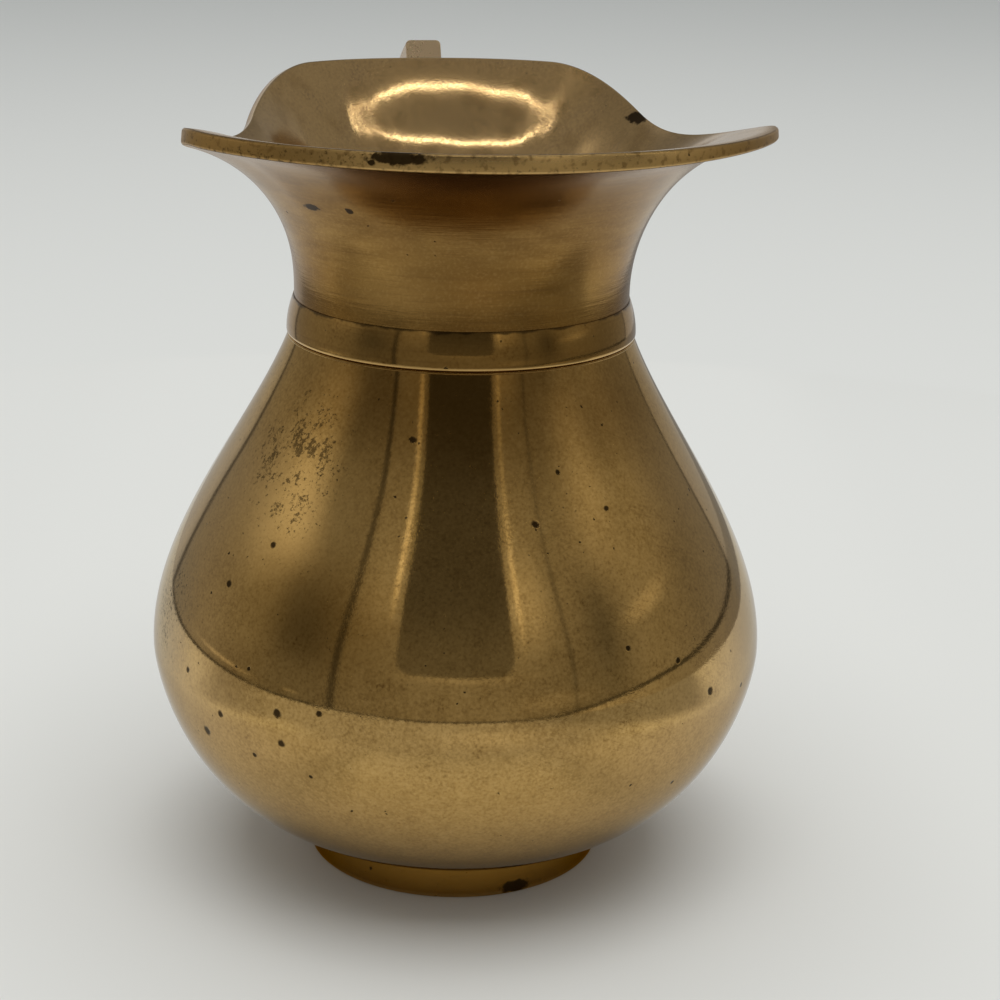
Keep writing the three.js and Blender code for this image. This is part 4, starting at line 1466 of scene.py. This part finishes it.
def add_tent(stage):
    """The tent's round wall, its ceiling, and a glowing sheet on the floor by its doorway that paints the
    floor's light and shade in the metal's reflections.
    """
    middle = stage_matrix(stage)
    radius, height = stage.tent_radius, stage.tent_height
    bpy.ops.mesh.primitive_cylinder_add(
        vertices=TENT_SIDES, radius=radius, depth=height, end_fill_type="NOTHING",
    )
    bpy.context.object.data.transform(Matrix.Translation((0.0, 0.0, height / 2)))
    add_card("tent_wall", middle, wall_glow(stage))
    ceiling = glow_material("tent_ceiling", stage.ceiling_glow)[0]
    sheets = (("tent_ceiling", height, ceiling), ("painted_floor_reflection", SHEET_LIFT, sheet_glow()))
    for name, level, material in sheets:
        bpy.ops.mesh.primitive_circle_add(vertices=SHEET_SIDES, radius=radius, fill_type="NGON")
        add_card(name, middle @ Matrix.Translation((0.0, 0.0, level)), material)


def add_light(stage):
    """One wide soft lamp overhead, and even light from all round."""
    lamp = bpy.data.lights.new("ceiling_lamp", "AREA")
    lamp.shape = "SQUARE"
    lamp.size = stage.lamp_size
    lamp.energy = stage.lamp_power
    holder = bpy.data.objects.new("ceiling_lamp", lamp)
    bpy.context.scene.collection.objects.link(holder)
    place = Matrix.Translation((stage.lamp_aside, -stage.lamp_forward, stage.lamp_height))
    holder.matrix_world = stage_matrix(stage) @ place
    holder.visible_glossy = False
    world = bpy.data.worlds.new("tent_air")
    world.use_nodes = True
    air = world.node_tree.nodes["Background"]
    air.inputs["Color"].default_value = AIR_COLOUR
    air.inputs["Strength"].default_value = stage.air_glow
    bpy.context.scene.world = world


class PITCHER_OT_stage(bpy.types.Operator):
    """Set up the floor, the light tent and the camera"""

    bl_idname = "pitcher.stage"
    bl_label = "Stage"

    def execute(self, context):
        stage = context.scene.pitcher_stage
        add_camera(stage)
        start_piece()
        add_floor(stage)
        add_tent(stage)
        add_light(stage)
        context.scene.view_settings.view_transform = "Standard"
        return {"FINISHED"}


class PITCHER_PT_panel(bpy.types.Panel):
    """Lists the pitcher's pieces"""

    bl_idname = "PITCHER_PT_panel"
    bl_label = "Brass Pitcher"
    bl_space_type = "VIEW_3D"
    bl_region_type = "UI"
    bl_category = "Pitcher"

    def draw(self, context):
        for name in PIECE_OPERATORS:
            self.layout.operator(name)


PIECE_OPERATORS = (
    "pitcher.stage",
    "pitcher.foot",
    "pitcher.bowl",
    "pitcher.collar",
    "pitcher.neck",
    "pitcher.handle",
)
CLASSES = (
    PitcherSizes,
    BrassColours,
    StageSettings,
    PITCHER_OT_stage,
    PITCHER_OT_foot,
    PITCHER_OT_bowl,
    PITCHER_OT_collar,
    PITCHER_OT_neck,
    PITCHER_OT_handle,
    PITCHER_PT_panel,
)


def register():
    for cls in CLASSES:
        bpy.utils.register_class(cls)
    bpy.types.Scene.pitcher_sizes = PointerProperty(type=PitcherSizes)
    bpy.types.Scene.brass_colours = PointerProperty(type=BrassColours)
    bpy.types.Scene.pitcher_stage = PointerProperty(type=StageSettings)


def unregister():
    del bpy.types.Scene.pitcher_stage
    del bpy.types.Scene.brass_colours
    del bpy.types.Scene.pitcher_sizes
    for cls in reversed(CLASSES):
        bpy.utils.unregister_class(cls)


def main():
    register()
    bpy.ops.pitcher.stage()
    bpy.ops.pitcher.foot()
    bpy.ops.pitcher.bowl()
    bpy.ops.pitcher.collar()
    bpy.ops.pitcher.neck()
    bpy.ops.pitcher.handle()


if __name__ == "__main__":
    main()
